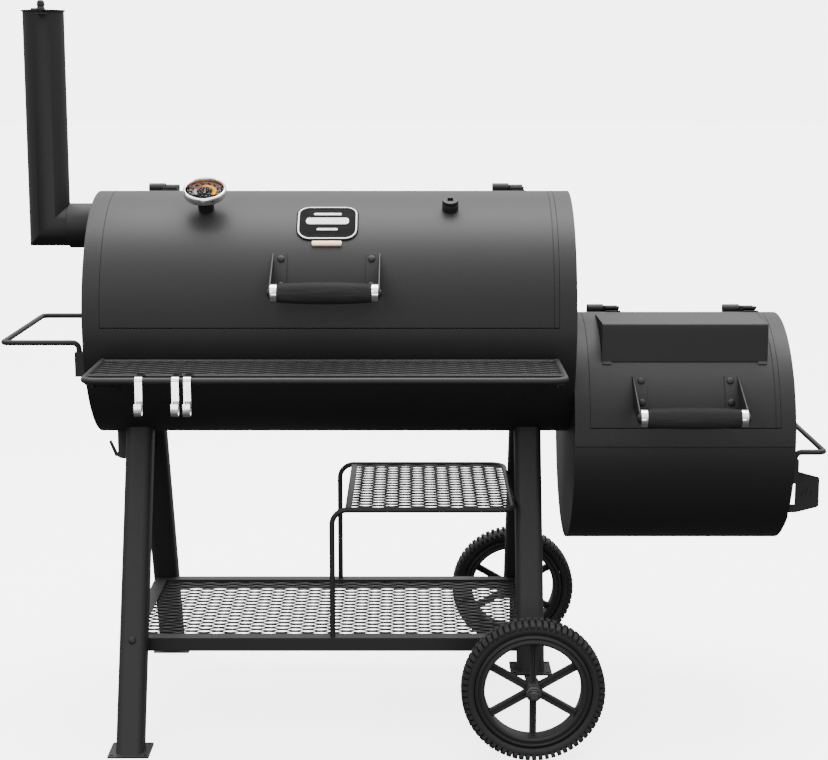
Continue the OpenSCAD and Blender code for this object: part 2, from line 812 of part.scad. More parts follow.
// Rim, six spokes and hub of one wheel.
module wheel(side) {
    translate([wheel_x, side * wheel_y, wheel_r]) rotate([90, 0, 0]) difference() {
        union() {
            rotate_extrude() polygon([[rim_inner_r, -19], [rim_r - 9, -19], [rim_r - 6, -16],
                [rim_r, -16], [rim_r, 16], [rim_r - 6, 16], [rim_r - 9, 19], [rim_inner_r, 19]]);
            cylinder(r = hub_r, h = hub_len, center = true);
            for (a = [0 : 60 : 300]) rotate(a) translate([-6.5, 8, -7]) cube([13, rim_inner_r - 6, 14]);
        }
        cylinder(r = axle_r + 0.05, h = hub_len + 2, center = true);
    }
}

// A solid rubber tyre on its rim.
module tyre(side) {
    translate([wheel_x, side * wheel_y, wheel_r]) rotate([90, 0, 0]) rotate_extrude()
        polygon([[rim_r, -17], [rim_r + 6, -20], [wheel_r - 8, -tyre_w / 2],
                 [wheel_r - 2, -tyre_w / 2 + 2], [wheel_r, -tyre_w / 2 + 8],
                 [wheel_r, tyre_w / 2 - 8], [wheel_r - 2, tyre_w / 2 - 2],
                 [wheel_r - 8, tyre_w / 2], [rim_r + 6, 20], [rim_r, 17]]);
}

module wheel_front() {
    color(paint) placed() wheel(-1);
}

module wheel_rear() {
    color(paint) placed() wheel(1);
}

module tyre_front() {
    color(rubber) placed() tyre(-1);
}

module tyre_rear() {
    color(rubber) placed() tyre(1);
}

// Washers on both sides of each hub, end nuts, and straps that hold the axle to the plates.
module axle_fittings() {
    color(iron) placed() for (side = [-1, 1]) {
        for (y = [wheel_y - hub_len / 2 - 3, wheel_y + hub_len / 2 + 0.5])
            translate([wheel_x, side * (y + 1.25), wheel_r]) rotate([90, 0, 0]) difference() {
                cylinder(r = 14, h = 2.5, center = true);
                cylinder(r = axle_r, h = 4, center = true);
            }
        translate([wheel_x, side * (wheel_y + hub_len / 2 + 6.5), wheel_r]) rotate([90, 0, 0])
            difference() {
                cylinder(r = 11.5, h = 6, center = true, $fn = 6);
                cylinder(r = axle_r, h = 8, center = true);
            }
        translate([wheel_x, side * leg_y(stub_plate_z), wheel_r]) rotate([90, 0, 0])
            linear_extrude(30, center = true) difference() {
                union() {
                    circle(r = axle_r + 3);
                    translate([-axle_r - 3, 0]) square([2 * axle_r + 6, axle_r]);
                    translate([-25, axle_r - 3]) square([50, 3]);
                }
                circle(r = axle_r);
                translate([-axle_r, 0]) square([2 * axle_r, 2 * axle_r]);
            }
    }
}

// ---------------------------------------------------------------- grease drain

// A short spout under the low end of the barrel, with a leaning hook for its bucket.
module grease_drain() {
    top = barrel_z - barrel_r;
    hook_x0 = drain_x - drain_r;
    color(paint) placed() {
        difference() {
            translate([drain_x, 0, top - 55]) cylinder(r = drain_r, h = 70);
            translate([drain_x, 0, top - 56]) cylinder(r = drain_r - 3, h = 80);
            along_x(-barrel_end, 0, barrel_z) cylinder(r = barrel_r, h = barrel_len);
        }
        translate([0, 6, 0]) rotate([90, 0, 0]) linear_extrude(12)
            polygon([[hook_x0 + 1.6, 485], [hook_x0 - 4, 485], [hook_x0 - 15.6, 514],
                     [hook_x0 - 12.6, 515.3], [hook_x0 - 1.5, 491], [hook_x0 + 1.6, 491]]);
    }
}

// ---------------------------------------------------------------- grates

// A flat grate plate with long slots.
module slotted_grate(w, d, t, slots) {
    pitch = (w - 16) / slots;
    linear_extrude(t) difference() {
        square([w, d], center = true);
        for (i = [0 : slots - 1], s = [-1, 1])
            translate([-w / 2 + 8 + pitch * (i + 0.5), s * d / 4])
                square([pitch * 0.55, d / 2 - 18], center = true);
    }
}

// Three loose cast-iron grates side by side.
module cooking_grates() {
    w = (2 * barrel_end - 24) / 3;
    color(iron) placed() for (i = [-1 : 1])
        translate([i * (w + 1), 0, grate_z]) slotted_grate(w - 1, 2 * grate_half_y, 9, 12);
}

// A ledge along each side of a drum, cut to the drum's inner wall.
module ledges(x0, x1, drum_z, r, y0, z) {
    intersection() {
        along_x(x0, 0, drum_z) cylinder(r = r, h = x1 - x0);
        for (side = [-1, 1])
            translate([x0, side > 0 ? y0 : -r - 10, z - 4]) cube([x1 - x0, r + 10 - y0, 4]);
    }
}

// Ledges that carry the cooking grates and the charcoal grate.
module grate_rails() {
    color(iron) placed() {
        ledges(-barrel_end + 12, barrel_end - 12, barrel_z, barrel_r - sheet, 188, grate_z);
        ledges(firebox_x0 + 12, firebox_x1 - 12, firebox_z, firebox_r - sheet, 152, charcoal_z);
    }
}

module charcoal_grate() {
    color(iron) placed() translate([firebox_mid, 0, charcoal_z])
        slotted_grate(firebox_len - 30, 352, 8, 12);
}

// ---------------------------------------------------------------- firebox

// Half of the firebox: half a drum with half of both end plates.
module firebox_half(a0, a1) {
    drum_sheet(firebox_x0, firebox_x1, firebox_z, firebox_r - sheet, firebox_r, a0, a1);
    difference() {
        union() {
            drum_sheet(firebox_x0, firebox_x0 + sheet, firebox_z, 0, firebox_r - sheet, a0, a1);
            drum_sheet(firebox_x1 - sheet, firebox_x1, firebox_z, 0, firebox_r - sheet, a0, a1);
        }
        side_profile(firebox_x0 - 1, firebox_x0 + sheet + 1) heat_lens(26);
    }
}

module firebox_lower() {
    color(paint) placed() difference() {
        firebox_half(180, 360);
        translate([firebox_x1 - sheet - 1, -door_half_y + 14, door_z0 + 12])
            cube([sheet + 2, 2 * door_half_y - 28, door_z1 - door_z0 - 24]);
    }
}

module firebox_upper() {
    color(paint) placed() difference() {
        firebox_half(0, 180);
        drum_sheet(firebox_mid - fb_lid_half - lid_gap, firebox_mid + fb_lid_half + lid_gap,
                   firebox_z, firebox_r - 20, firebox_r + 20, fb_lid_front - 0.4, fb_lid_back + 0.6);
    }
}

module firebox_lid() {
    color(paint) placed()
        drum_sheet(firebox_mid - fb_lid_half, firebox_mid + fb_lid_half, firebox_z,
                   firebox_r - sheet, firebox_r, fb_lid_front, fb_lid_back);
}

module firebox_hinge_sockets() {
    color(paint) placed() hinge_sockets(fb_hinge_x, fb_hinge_y, fb_hinge_z, firebox_z, firebox_r);
}

module firebox_hinge_pins() {
    color(paint) placed() hinge_pins(fb_hinge_x, fb_hinge_y, fb_hinge_z, firebox_z, firebox_r);
}

module firebox_handle_brackets() {
    color(paint) placed() handle_plates(firebox_mid + 2, fb_grip_y, fb_grip_z, firebox_z, firebox_r,
                                        fb_flange[0], fb_flange[1]);
}

module firebox_handle_grip() {
    color(grip_black) placed() grip(firebox_mid + 2, fb_grip_y, fb_grip_z);
}

module firebox_handle_ferrules() {
    color(chrome) placed() ferrules(firebox_mid + 2, fb_grip_y, fb_grip_z);
}

module firebox_handle_screws() {
    color(paint) placed() handle_screws(firebox_mid + 2, fb_grip_y, fb_grip_z, firebox_z, firebox_r,
                                        fb_flange[0], fb_flange[1]);
}

// A folded sheet that stands off the firebox lid and screens the cook from its heat.
module heat_shield() {
    x0 = firebox_mid + 3 - shield_half;
    x1 = firebox_mid + 3 + shield_half;
    color(paint) placed() {
        side_profile(x0, x1) {
            translate([-shield_y, shield_top - shield_t]) square([shield_y - shield_back, shield_t]);
            translate([-shield_y, shield_bottom + 9])
                square([shield_t, shield_top - shield_bottom - 9]);
        }
        for (x = [x0, x1 - shield_t])
            side_profile(x, x + shield_t) difference() {
                translate([-shield_y, shield_bottom])
                    square([shield_y - shield_back, shield_top - shield_bottom]);
                translate([0, firebox_z]) circle(r = firebox_r + 0.1);
            }
        for (x = [x0 + shield_t, x1 - 14 - shield_t])
            drum_sheet(x, x + 14, firebox_z, firebox_r + 0.1, firebox_r + 2, 41.2, 46);
    }
}

// ---------------------------------------------------------------- ash door

// The clean-out door: a flat sheet with vents, a pivot stud and its hinge knuckles.
module ash_door() {
    mid = (door_z0 + door_z1) / 2;
    color(paint) placed() difference() {
        union() {
            side_profile(door_x, door_x + sheet) intersection() {
                translate([-door_half_y - 14, door_z0])
                    square([2 * door_half_y + 18, door_z1 - door_z0]);
                translate([0, firebox_z]) circle(r = firebox_r - 5);
            }
            for (s = [-1, 1]) {
                translate([door_x, door_hinge_y - 10, mid + s * knuckle_pitch - knuckle_h / 2])
                    cube([7, 7, knuckle_h]);
                translate([door_hinge_x, door_hinge_y, mid + s * knuckle_pitch - knuckle_h / 2])
                    cylinder(r = door_hinge_r, h = knuckle_h);
            }
            along_x(door_x, 0, damper_z) cylinder(r = 5, h = 7.6);
            along_x(door_x + 7.4, 0, damper_z) cylinder(r = 8, h = 2);
        }
        for (a = [60, 180, 300])
            along_x(door_x - 1, 0, damper_z) rotate(a) translate([27, 0, 0]) cylinder(r = 13, h = 5);
        translate([door_hinge_x, door_hinge_y, door_z0])
            cylinder(r = door_pin_r + 0.05, h = door_z1 - door_z0);
    }
}

// The fixed half of the door's hinge: a lug on the firebox and the pin through the knuckles.
module ash_door_hinge() {
    mid = (door_z0 + door_z1) / 2;
    lug = knuckle_pitch - knuckle_h / 2 - 0.5;
    color(paint) placed() {
        translate([door_hinge_x, door_hinge_y, mid - knuckle_pitch - knuckle_h / 2 - 4])
            cylinder(r = door_pin_r, h = 2 * knuckle_pitch + knuckle_h + 8);
        difference() {
            union() {
                translate([door_hinge_x, door_hinge_y, mid - lug]) cylinder(r = door_hinge_r, h = 2 * lug);
                translate([firebox_x1, door_hinge_y - 4, mid - lug])
                    cube([door_hinge_x - firebox_x1, 10, 2 * lug]);
            }
            translate([door_hinge_x, door_hinge_y, mid - lug - 1])
                cylinder(r = door_pin_r, h = 2 * lug + 2);
        }
        for (s = [-1, 1])
            translate([door_hinge_x, door_hinge_y, mid + s * (knuckle_pitch + knuckle_h / 2 + 3)])
                cylinder(r = 4.5, h = 2, center = true);
    }
}

// The pull: a flat grip plate held off the door by two arms.
module ash_door_pull() {
    x = door_x + sheet;
    color(paint) placed() translate([0, pull_y + 1.5, 0]) rotate([90, 0, 0]) linear_extrude(3)
        difference() {
            polygon([[x, 410], [x + 14, 410], [x + 55, 420.5], [x + 56.5, 424], [x + 56.5, 474],
                     [x + 55, 478], [x + 14, 488], [x, 488]]);
            translate([x - 1, 425]) square([13, 47]);
        }
}

// The round air damper on the door: three vents and a thumb tab.
module air_damper() {
    color(paint) placed() {
        along_x(door_x + sheet + 0.5, 0, damper_z) difference() {
            cylinder(r = damper_r, h = 2.5);
            translate([0, 0, -1]) cylinder(r = 5.05, h = 5);
            for (a = [60, 180, 300]) rotate(a) translate([27, 0, -1]) cylinder(r = 13, h = 5);
        }
        translate([door_x + sheet + 3, -8, damper_z - 41]) cube([16, 16, 3]);
    }
}

barrel_shell();
barrel_end_left();
barrel_end_right();
lid_shell();
lid_hinge_sockets();
lid_hinge_pins();
lid_handle_brackets();
lid_handle_grip();
lid_handle_ferrules();
lid_handle_screws();
badge_plate();
badge_strip();
thermometer_case();
thermometer_dial();
thermometer_needle();
thermometer_glass();
probe_port();
stack_collar();
smokestack();
stack_cap();
stack_cap_bolt();
side_handles();
handle_brackets();
front_shelf_frame();
front_shelf_mesh();
front_shelf_brackets();
tool_hook_1();
tool_hook_2();
tool_hook_3();
legs();
foot_plates();
frame_bolts();
low_shelf_frame();
low_shelf_mesh();
wood_shelf_frame();
wood_shelf_mesh();
axle();
wheel_front();
wheel_rear();
tyre_front();
tyre_rear();
axle_fittings();
grease_drain();
cooking_grates();
grate_rails();
firebox_lower();
firebox_upper();
firebox_lid();
firebox_hinge_sockets();
firebox_hinge_pins();
firebox_handle_brackets();
firebox_handle_grip();
firebox_handle_ferrules();
firebox_handle_screws();
heat_shield();
charcoal_grate();
ash_door();
ash_door_hinge();
ash_door_pull();
air_damper();
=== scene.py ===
"""Looks of an offset barrel smoker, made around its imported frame.

Shapes are drawn in millimetres from the middle of the cooking barrel, the way the
metalwork is laid out, and moved to the frame's metres when a piece is booked.
"""

from __future__ import annotations

import json
import logging
import math
from collections.abc import Callable, Iterable, Sequence
from dataclasses import dataclass, field
from enum import Enum
from typing import ClassVar

import bmesh
import bpy
from mathutils import Matrix, Vector

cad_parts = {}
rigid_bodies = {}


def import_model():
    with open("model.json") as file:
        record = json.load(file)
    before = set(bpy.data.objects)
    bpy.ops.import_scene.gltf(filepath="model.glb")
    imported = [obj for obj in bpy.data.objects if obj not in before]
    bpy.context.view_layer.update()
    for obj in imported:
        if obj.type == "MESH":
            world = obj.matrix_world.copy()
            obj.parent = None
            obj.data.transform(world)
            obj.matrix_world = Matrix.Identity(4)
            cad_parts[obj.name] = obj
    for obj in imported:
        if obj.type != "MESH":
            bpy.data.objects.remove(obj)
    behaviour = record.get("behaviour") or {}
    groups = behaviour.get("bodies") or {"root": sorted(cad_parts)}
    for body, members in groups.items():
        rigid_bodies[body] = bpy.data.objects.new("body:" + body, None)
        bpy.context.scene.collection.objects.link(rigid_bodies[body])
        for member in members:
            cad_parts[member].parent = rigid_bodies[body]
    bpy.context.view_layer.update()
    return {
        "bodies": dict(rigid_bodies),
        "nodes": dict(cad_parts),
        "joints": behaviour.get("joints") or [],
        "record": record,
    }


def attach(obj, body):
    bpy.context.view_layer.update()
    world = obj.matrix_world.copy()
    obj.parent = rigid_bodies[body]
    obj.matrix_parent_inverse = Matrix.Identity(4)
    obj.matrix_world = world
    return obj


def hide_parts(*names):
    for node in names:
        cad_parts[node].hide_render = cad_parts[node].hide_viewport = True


LOG = logging.getLogger("smoker")
MM = 0.001
TO_FRAME = Matrix.Scale(MM, 4) @ Matrix.Translation((-154.2, 45.375, 0.0))
HERE = Matrix.Identity(4)
# An outline drawn in Y and Z, pulled along X.
SIDEWAYS = Matrix(((0, 0, 1, 0), (1, 0, 0, 0), (0, 1, 0, 0), (0, 0, 0, 1)))

Flat = tuple[float, float]
Outline = list[Flat]
Tint = tuple[float, float, float]


# ------ placing and outlines


def along_x(x: float, y: float, z: float) -> Matrix:
    """Returns a place whose local Z runs along +X."""
    return Matrix.Translation((x, y, z)) @ Matrix.Rotation(math.pi / 2, 4, "Y")


def along_y(x: float, y: float, z: float) -> Matrix:
    """Returns a place whose local Z runs along -Y and whose local Y is up."""
    return Matrix.Translation((x, y, z)) @ Matrix.Rotation(math.pi / 2, 4, "X")


def at(x: float, y: float, z: float) -> Matrix:
    """Returns an unturned place."""
    return Matrix.Translation((x, y, z))


def spread(low: float, high: float, steps: int) -> list[float]:
    """Returns steps + 1 even values from low to high."""
    return [low + (high - low) * i / steps for i in range(steps + 1)]


def arc(radius: float, start: float, stop: float, steps: int, centre: Flat = (0, 0)) -> Outline:
    """Returns points on an arc, in degrees counter-clockwise.

    Args:
        radius: The arc's radius.
        start: The first point's angle.
        stop: The last point's angle.
        steps: How many chords the arc has.
        centre: The arc's centre.

    Returns:
        steps + 1 points.
    """
    turns = [math.radians(a) for a in spread(start, stop, steps)]
    return [(centre[0] + radius * math.cos(t), centre[1] + radius * math.sin(t)) for t in turns]


def circle(radius: float, steps: int = 32, centre: Flat = (0, 0)) -> Outline:
    """Returns a closed circle's points."""
    return arc(radius, 0, 360, steps, centre)[:-1]


def rounded(width: float, height: float, radius: float, centre: Flat = (0, 0),
            steps: int = 6) -> Outline:
    """Returns a rectangle with round corners, counter-clockwise.

    Args:
        width: Size along the first axis.
        height: Size along the second axis.
        radius: The corners' radius.
        centre: The rectangle's centre.
        steps: Chords in each corner.

    Returns:
        The outline's points, always the same number for the same steps.
    """
    dx, dy = width / 2 - radius, height / 2 - radius
    corners = [(dx, dy, 0), (-dx, dy, 90), (-dx, -dy, 180), (dx, -dy, 270)]
    return [p for cx, cy, a in corners
            for p in arc(radius, a, a + 90, steps, (centre[0] + cx, centre[1] + cy))]


def rect(x0: float, y0: float, x1: float, y1: float) -> Outline:
    """Returns a plain rectangle's points."""
    return [(x0, y0), (x1, y0), (x1, y1), (x0, y1)]


def bend_route(route: Sequence[Sequence[float]], bend: float, steps: int = 8) -> list[Vector]:
    """Rounds every corner of a bent rod's route.

    Args:
        route: The corners, in millimetres.
        bend: The bend's radius on the rod's axis.
        steps: Chords in each bend.

    Returns:
        The axis as a list of points.
    """
    points = [Vector(p) for p in route]
    path = [points[0]]
    for before, corner, after in zip(points, points[1:], points[2:]):
        u, v = (corner - before).normalized(), (after - corner).normalized()
        turn = u.angle(v)
        side = (v - u * u.dot(v)).normalized()
        start = corner - u * bend * math.tan(turn / 2)
        centre = start + side * bend
        path += [centre + (u * math.sin(t) - side * math.cos(t)) * bend
                 for t in spread(0, turn, steps)]
    return path + [points[-1]]


@dataclass(frozen=True)
class Drum:
    """A rolled drum along X."""

    middle: float
    z: float
    radius: float
    half: float
    sheet: float = 3.0

    @property
    def left(self) -> float:
        """The drum's left end."""
        return self.middle - self.half

    @property
    def right(self) -> float:
        """The drum's right end."""
        return self.middle + self.half

    def point(self, x: float, radius: float, angle: float) -> Vector:
        """Returns the point at an angle, in degrees from the front horizon up and over."""
        t = math.radians(angle)
        return Vector((x, -radius * math.cos(t), self.z + radius * math.sin(t)))

    def seat(self, x: float, angle: float, lift: float = 0.0) -> Matrix:
        """Returns a place on the drum whose local Z points outwards and local Y up the sheet."""
        return (at(x, 0, self.z) @ Matrix.Rotation(math.radians(90 - angle), 4, "X")
                @ at(0, 0, self.radius + lift))

    def wrap(self, x: float, angle: float) -> Callable[[Vector], Vector]:
        """Returns a function that bends a flat shape round the drum at a place."""
        return lambda p: self.point(x + p.x, self.radius + p.z,
                                    angle + math.degrees(p.y / self.radius))


BARREL = Drum(middle=0.0, z=767.0, radius=228.0, half=441.5)
FIREBOX = Drum(middle=641.5, z=547.5, radius=216.0, half=200.0)


# ------ node wiring


def arithmetic(operation: str, swapped: bool = False) -> Callable[[Sock, Sock | float], Sock]:
    """Returns an operator's method, which feeds a Math node with self and the other value.

    Args:
        operation: The node's operation.
        swapped: Whether the other value goes first.

    Returns:
        The method.
    """
    def method(self: Sock, other: Sock | float) -> Sock:
        """Returns the Math node's result."""
        return self.math(operation, *((other, self) if swapped else (self, other)))

    return method


class Sock:
    """One output socket, with arithmetic written as Python operators."""

    def __init__(self, wiring: Wiring, out: bpy.types.NodeSocket) -> None:
        """Keeps the socket and the tree it belongs to."""
        self.wiring = wiring
        self.out = out

    def math(self, operation: str, *values: Sock | float) -> Sock:
        """Returns the result of a Math node on the given values."""
        return self.wiring.node("ShaderNodeMath", {"operation": operation},
                                dict(enumerate(values)))

    __add__, __radd__ = arithmetic("ADD"), arithmetic("ADD", swapped=True)
    __sub__, __rsub__ = arithmetic("SUBTRACT"), arithmetic("SUBTRACT", swapped=True)
    __mul__, __rmul__ = arithmetic("MULTIPLY"), arithmetic("MULTIPLY", swapped=True)
    __truediv__, __mod__ = arithmetic("DIVIDE"), arithmetic("MODULO")

    def floor(self) -> Sock:
        """Returns the value rounded down."""
        return self.math("FLOOR", self)

    def band(self, low: float, high: float) -> Sock:
        """Returns a smooth step from 0 at low to 1 at high."""
        return self.wiring.node(
            "ShaderNodeMapRange", {"interpolation_type": "SMOOTHSTEP"},
            {"Value": self, "From Min": low, "From Max": high})

    def other(self, name: str) -> Sock:
        """Returns another output of the same node."""
        return Sock(self.wiring, self.out.node.outputs[name])


class Wiring:
    """Adds nodes to one tree and joins them."""

    def __init__(self, tree: bpy.types.NodeTree) -> None:
        """Keeps the tree."""
        self.tree = tree

    def node(self, kind: str, settings: dict[str, object] | None = None,
             inputs: dict[str | int, object] | None = None, out: str | int = 0) -> Sock:
        """Adds a node.

        Args:
            kind: The node's type.
            settings: Its properties, which are set first; "stops" fills a grey ramp.
            inputs: Values or sockets for its inputs, by name or number.
            out: The output that is returned.

        Returns:
            The chosen output socket.
        """
        made = self.tree.nodes.new(kind)
        for key, value in (settings or {}).items():
            if key == "stops":
                self.fill_ramp(made.color_ramp, value)
            else:
                setattr(made, key, value)
        self.feed(made, inputs or {})
        return Sock(self, made.outputs[out])

    def feed(self, node: bpy.types.Node, values: dict[str | int, object]) -> None:
        """Feeds a node's inputs with sockets or plain values."""
        for key, value in values.items():
            if isinstance(value, Sock):
                self.tree.links.new(value.out, node.inputs[key])
            else:
                node.inputs[key].default_value = value

    @staticmethod
    def fill_ramp(ramp: bpy.types.ColorRamp, stops: Sequence[Flat]) -> None:
        """Fills a smooth ramp with (place, value) stops, the first at 0 and the last at 1."""
        ramp.interpolation = "B_SPLINE"
        for element, (_, value) in zip(ramp.elements, (stops[0], stops[-1])):
            element.color = grey(value)
        for place, value in stops[1:-1]:
            ramp.elements.new(place).color = grey(value)

    def mix(self, factor: Sock | float, first: object, second: object) -> Sock:
        """Returns a mix of two colours."""
        return self.node("ShaderNodeMix", {"data_type": "RGBA"},
                         {0: factor, 6: first, 7: second}, out=2)

    def upward(self, place: Sock) -> Sock:
        """Returns how far the surface faces up, from -1 to 1."""
        return self.node("ShaderNodeSeparateXYZ", {}, {0: place.other("Normal")}, out="Z")

    def stretched(self, place: Sock, size: Sequence[float]) -> Sock:
        """Returns coordinates stretched by a size for each axis."""
        return self.node("ShaderNodeVectorMath", {"operation": "MULTIPLY"},
                         {0: place, 1: tuple(size)})

    def noise(self, place: Sock, scale: float, detail: float = 2.0,
              roughness: float = 0.5) -> Sock:
        """Returns a noise value on the given coordinates."""
        return self.node("ShaderNodeTexNoise", {"noise_dimensions": "3D"},
                         {"Vector": place, "Scale": scale, "Detail": detail,
                          "Roughness": roughness})

    def bump(self, height: Sock, strength: float, distance: float,
             under: Sock | None = None) -> Sock:
        """Returns a normal bent by a height, over another bump where one is given."""
        inputs: dict[str | int, object] = {"Height": height, "Strength": strength,
                                           "Distance": distance}
        if under is not None:
            inputs["Normal"] = under
        return self.node("ShaderNodeBump", {}, inputs)


# ------ finishes


def grey(value: float, blue: float = 0.0) -> tuple[float, float, float, float]:
    """Returns a grey colour, a little bluer where blue is above 0."""
    return (value, value * (1 + blue / 2), value * (1 + blue), 1)


def toned(tint: Tint, share: float = 1.0) -> tuple[float, float, float, float]:
    """Returns a tint, made darker or lighter by a share."""
    return (*[min(1.0, c * share) for c in tint], 1)


class Coating:
    """What every finish shares: one material with a Principled shader."""

    blended: ClassVar[bool] = False

    def look(self, w: Wiring, place: Sock) -> dict[str, object]:
        """Wires the finish.

        Args:
            w: The material's wiring.
            place: The object's own coordinates.

        Returns:
            Values or sockets for the shader's inputs, by name.
        """
        raise NotImplementedError

    def build(self, name: str) -> bpy.types.Material:
        """Returns a new material with the finish's look."""
        material = bpy.data.materials.new(name)
        material.use_nodes = True
        if self.blended:
            material.surface_render_method = "BLENDED"
        w = Wiring(material.node_tree)
        place = w.node("ShaderNodeTexCoord", out="Object")
        w.feed(material.node_tree.nodes["Principled BSDF"], self.look(w, place))
        return material


@dataclass(frozen=True)
class SatinPaint(Coating):
    """Baked satin paint with an orange-peel skin; painted highlight where it faces up, painted
    shade where it faces down.
    """

    shade: float = 0.013
    # The colour for upward faces is a painted highlight; the under colour is painted shade.
    top_highlight: float = 0.031
    under: float = 0.009
    roughness: float = 0.47
    peel: float = 0.22
    grain: float = 0.0016
    gloss: float = 0.22

    def look(self, w: Wiring, place: Sock) -> dict[str, object]:
        """Returns the shader's values."""
        facing = w.upward(place)
        fine = w.noise(place, 1 / self.grain, 3, 0.55)
        soft = w.noise(place, 150, 2)
        cloud = w.noise(place, 4.5, 3)
        # Painted highlight: upward faces blend to the lighter top colour, patchy with the cloud
        # noise.
        top = facing.band(0.35, 1.0) * (0.55 + 0.45 * cloud)
        # Painted shade: downward faces blend to the darker under colour.
        low = (-1.0 * facing).band(-0.05, 0.75)
        body = w.mix(top, grey(self.shade), grey(self.top_highlight))
        body = w.mix(low, body, grey(self.under))
        body = w.mix(fine.band(0.35, 0.8) * 0.22, body, grey(self.shade * 2.1))
        rough = self.roughness + 0.12 * (cloud - 0.5) + 0.10 * (fine - 0.5) + 0.10 * low
        skin = w.bump(fine, self.peel, 0.0003)
        skin = w.bump(soft, self.peel * 0.45, 0.0007, skin)
        return {
            "Base Color": body, "Roughness": rough, "Specular IOR Level": self.gloss,
            "Normal": skin}


@dataclass(frozen=True)
class BrightPlate(Coating):
    """Polished plate with faint smudges."""

    tint: Tint = (0.86, 0.86, 0.87)
    roughness: float = 0.10

    def look(self, w: Wiring, place: Sock) -> dict[str, object]:
        """Returns the shader's values."""
        smudge = w.noise(place, 60, 4)
        fine = w.noise(place, 900, 2)
        colour = w.mix(smudge.band(0.45, 0.8) * 0.3, toned(self.tint), toned(self.tint, 0.86))
        return {
            "Base Color": colour, "Metallic": 1.0,
            "Roughness": self.roughness + 0.14 * smudge.band(0.4, 0.9),
            "Normal": w.bump(fine, 0.05, 0.0001)}


@dataclass(frozen=True)
class BrushedMetal(Coating):
    """Metal brushed along X."""

    tint: Tint = (0.42, 0.42, 0.43)
    roughness: float = 0.34
    metallic: float = 1.0

    def look(self, w: Wiring, place: Sock) -> dict[str, object]:
        """Returns the shader's values."""
        streak = w.noise(w.stretched(place, (14, 900, 900)), 1.0, 3)
        cloud = w.noise(place, 30, 3)
        colour = w.mix(streak.band(0.3, 0.7), toned(self.tint, 0.78), toned(self.tint, 1.12))
        return {
            "Base Color": colour, "Metallic": self.metallic,
            "Roughness": self.roughness + 0.18 * (streak - 0.5) + 0.12 * (cloud - 0.5),
            "Normal": w.bump(streak, 0.18, 0.0001)}


@dataclass(frozen=True)
class StainedWood(Coating):
    """Turned wood stained black, with its grain along the grip and painted shade where it faces
    up.
    """

    light: float = 0.030
    dark: float = 0.017
    roughness: float = 0.62

    def look(self, w: Wiring, place: Sock) -> dict[str, object]:
        """Returns the shader's values."""
        sway = w.noise(place, 18, 2)
        grain = w.noise(w.stretched(place, (16, 420, 420)), 1.0, 4, 0.6)
        pore = w.noise(w.stretched(place, (60, 1500, 1500)), 1.0, 2)
        colour = w.mix(grain.band(0.3, 0.75), grey(self.dark), grey(self.light, -0.04))
        colour = w.mix(pore.band(0.62, 0.75) * 0.5, colour, grey(self.dark * 0.5))
        # Painted shade: the grip is darkened where it faces up.
        facing = w.upward(place)
        colour = w.mix(facing.band(0.0, 0.9) * 0.8, colour, grey(self.dark * 0.3))
        skin = w.bump(grain, 0.16, 0.0003)
        return {
            "Base Color": colour, "Specular IOR Level": 0.08,
            "Roughness": self.roughness + 0.14 * (sway - 0.5) + 0.1 * (grain - 0.5),
            "Normal": w.bump(pore, 0.12, 0.0002, skin)}


@dataclass(frozen=True)
class Rubber(Coating):
    """Moulded rubber with a chalky bloom in patches, and paler where it faces up."""

    shade: float = 0.007
    roughness: float = 0.72

    def look(self, w: Wiring, place: Sock) -> dict[str, object]:
        """Returns the shader's values."""
        cloud = w.noise(place, 22, 4)
        fine = w.noise(place, 1100, 2)
        facing = w.upward(place)
        # Patches of bloom, plus a lightening towards faces that point up.
        bloom = cloud.band(0.4, 0.8) * 0.5 + facing.band(0.1, 1.0) * 0.35
        return {
            "Base Color": w.mix(bloom, grey(self.shade), grey(self.shade * 2.2)),
            "Roughness": self.roughness + 0.2 * (cloud - 0.5),
            "Specular IOR Level": 0.4, "Normal": w.bump(fine, 0.25, 0.0003)}


@dataclass(frozen=True)
class CastIron(Coating):
    """Seasoned cast iron, sand-grained with a few rusty blooms."""

    shade: float = 0.05

    def look(self, w: Wiring, place: Sock) -> dict[str, object]:
        """Returns the shader's values."""
        sand = w.noise(place, 700, 3, 0.6)
        bloom = w.noise(place, 16, 4).band(0.56, 0.75)
        colour = w.mix(sand, grey(self.shade * 0.6), grey(self.shade * 1.3, -0.05))
        return {
            "Base Color": w.mix(bloom * 0.5, colour, (0.09, 0.05, 0.032, 1)),
            "Roughness": 0.55 + 0.25 * bloom + 0.15 * (sand - 0.5),
            "Normal": w.bump(sand, 0.5, 0.0005)}


@dataclass(frozen=True)
class PrintedInk(Coating):
    """Flat print or enamel, with the tooth of the sheet under it."""

    tint: Tint = (0.02, 0.02, 0.021)
    roughness: float = 0.5
    gloss: float = 0.4

    def look(self, w: Wiring, place: Sock) -> dict[str, object]:
        """Returns the shader's values."""
        tooth = w.noise(place, 1300, 2)
        cloud = w.noise(place, 70, 3)
        return {
            "Base Color": w.mix(cloud.band(0.35, 0.8), toned(self.tint), toned(self.tint, 0.84)),
            "Roughness": self.roughness + 0.15 * (cloud - 0.5),
            "Specular IOR Level": self.gloss, "Normal": w.bump(tooth, 0.12, 0.0001)}


@dataclass(frozen=True)
class ClearLens(Coating):
    """The gauge's clear lens."""

    blended: ClassVar[bool] = True

    def look(self, w: Wiring, place: Sock) -> dict[str, object]:
        """Returns the shader's values."""
        haze = w.noise(place, 90, 3)
        return {
            "Base Color": (0.01, 0.01, 0.011, 1), "Alpha": 0.03,
            "Roughness": 0.03 + 0.08 * haze.band(0.5, 0.9)}


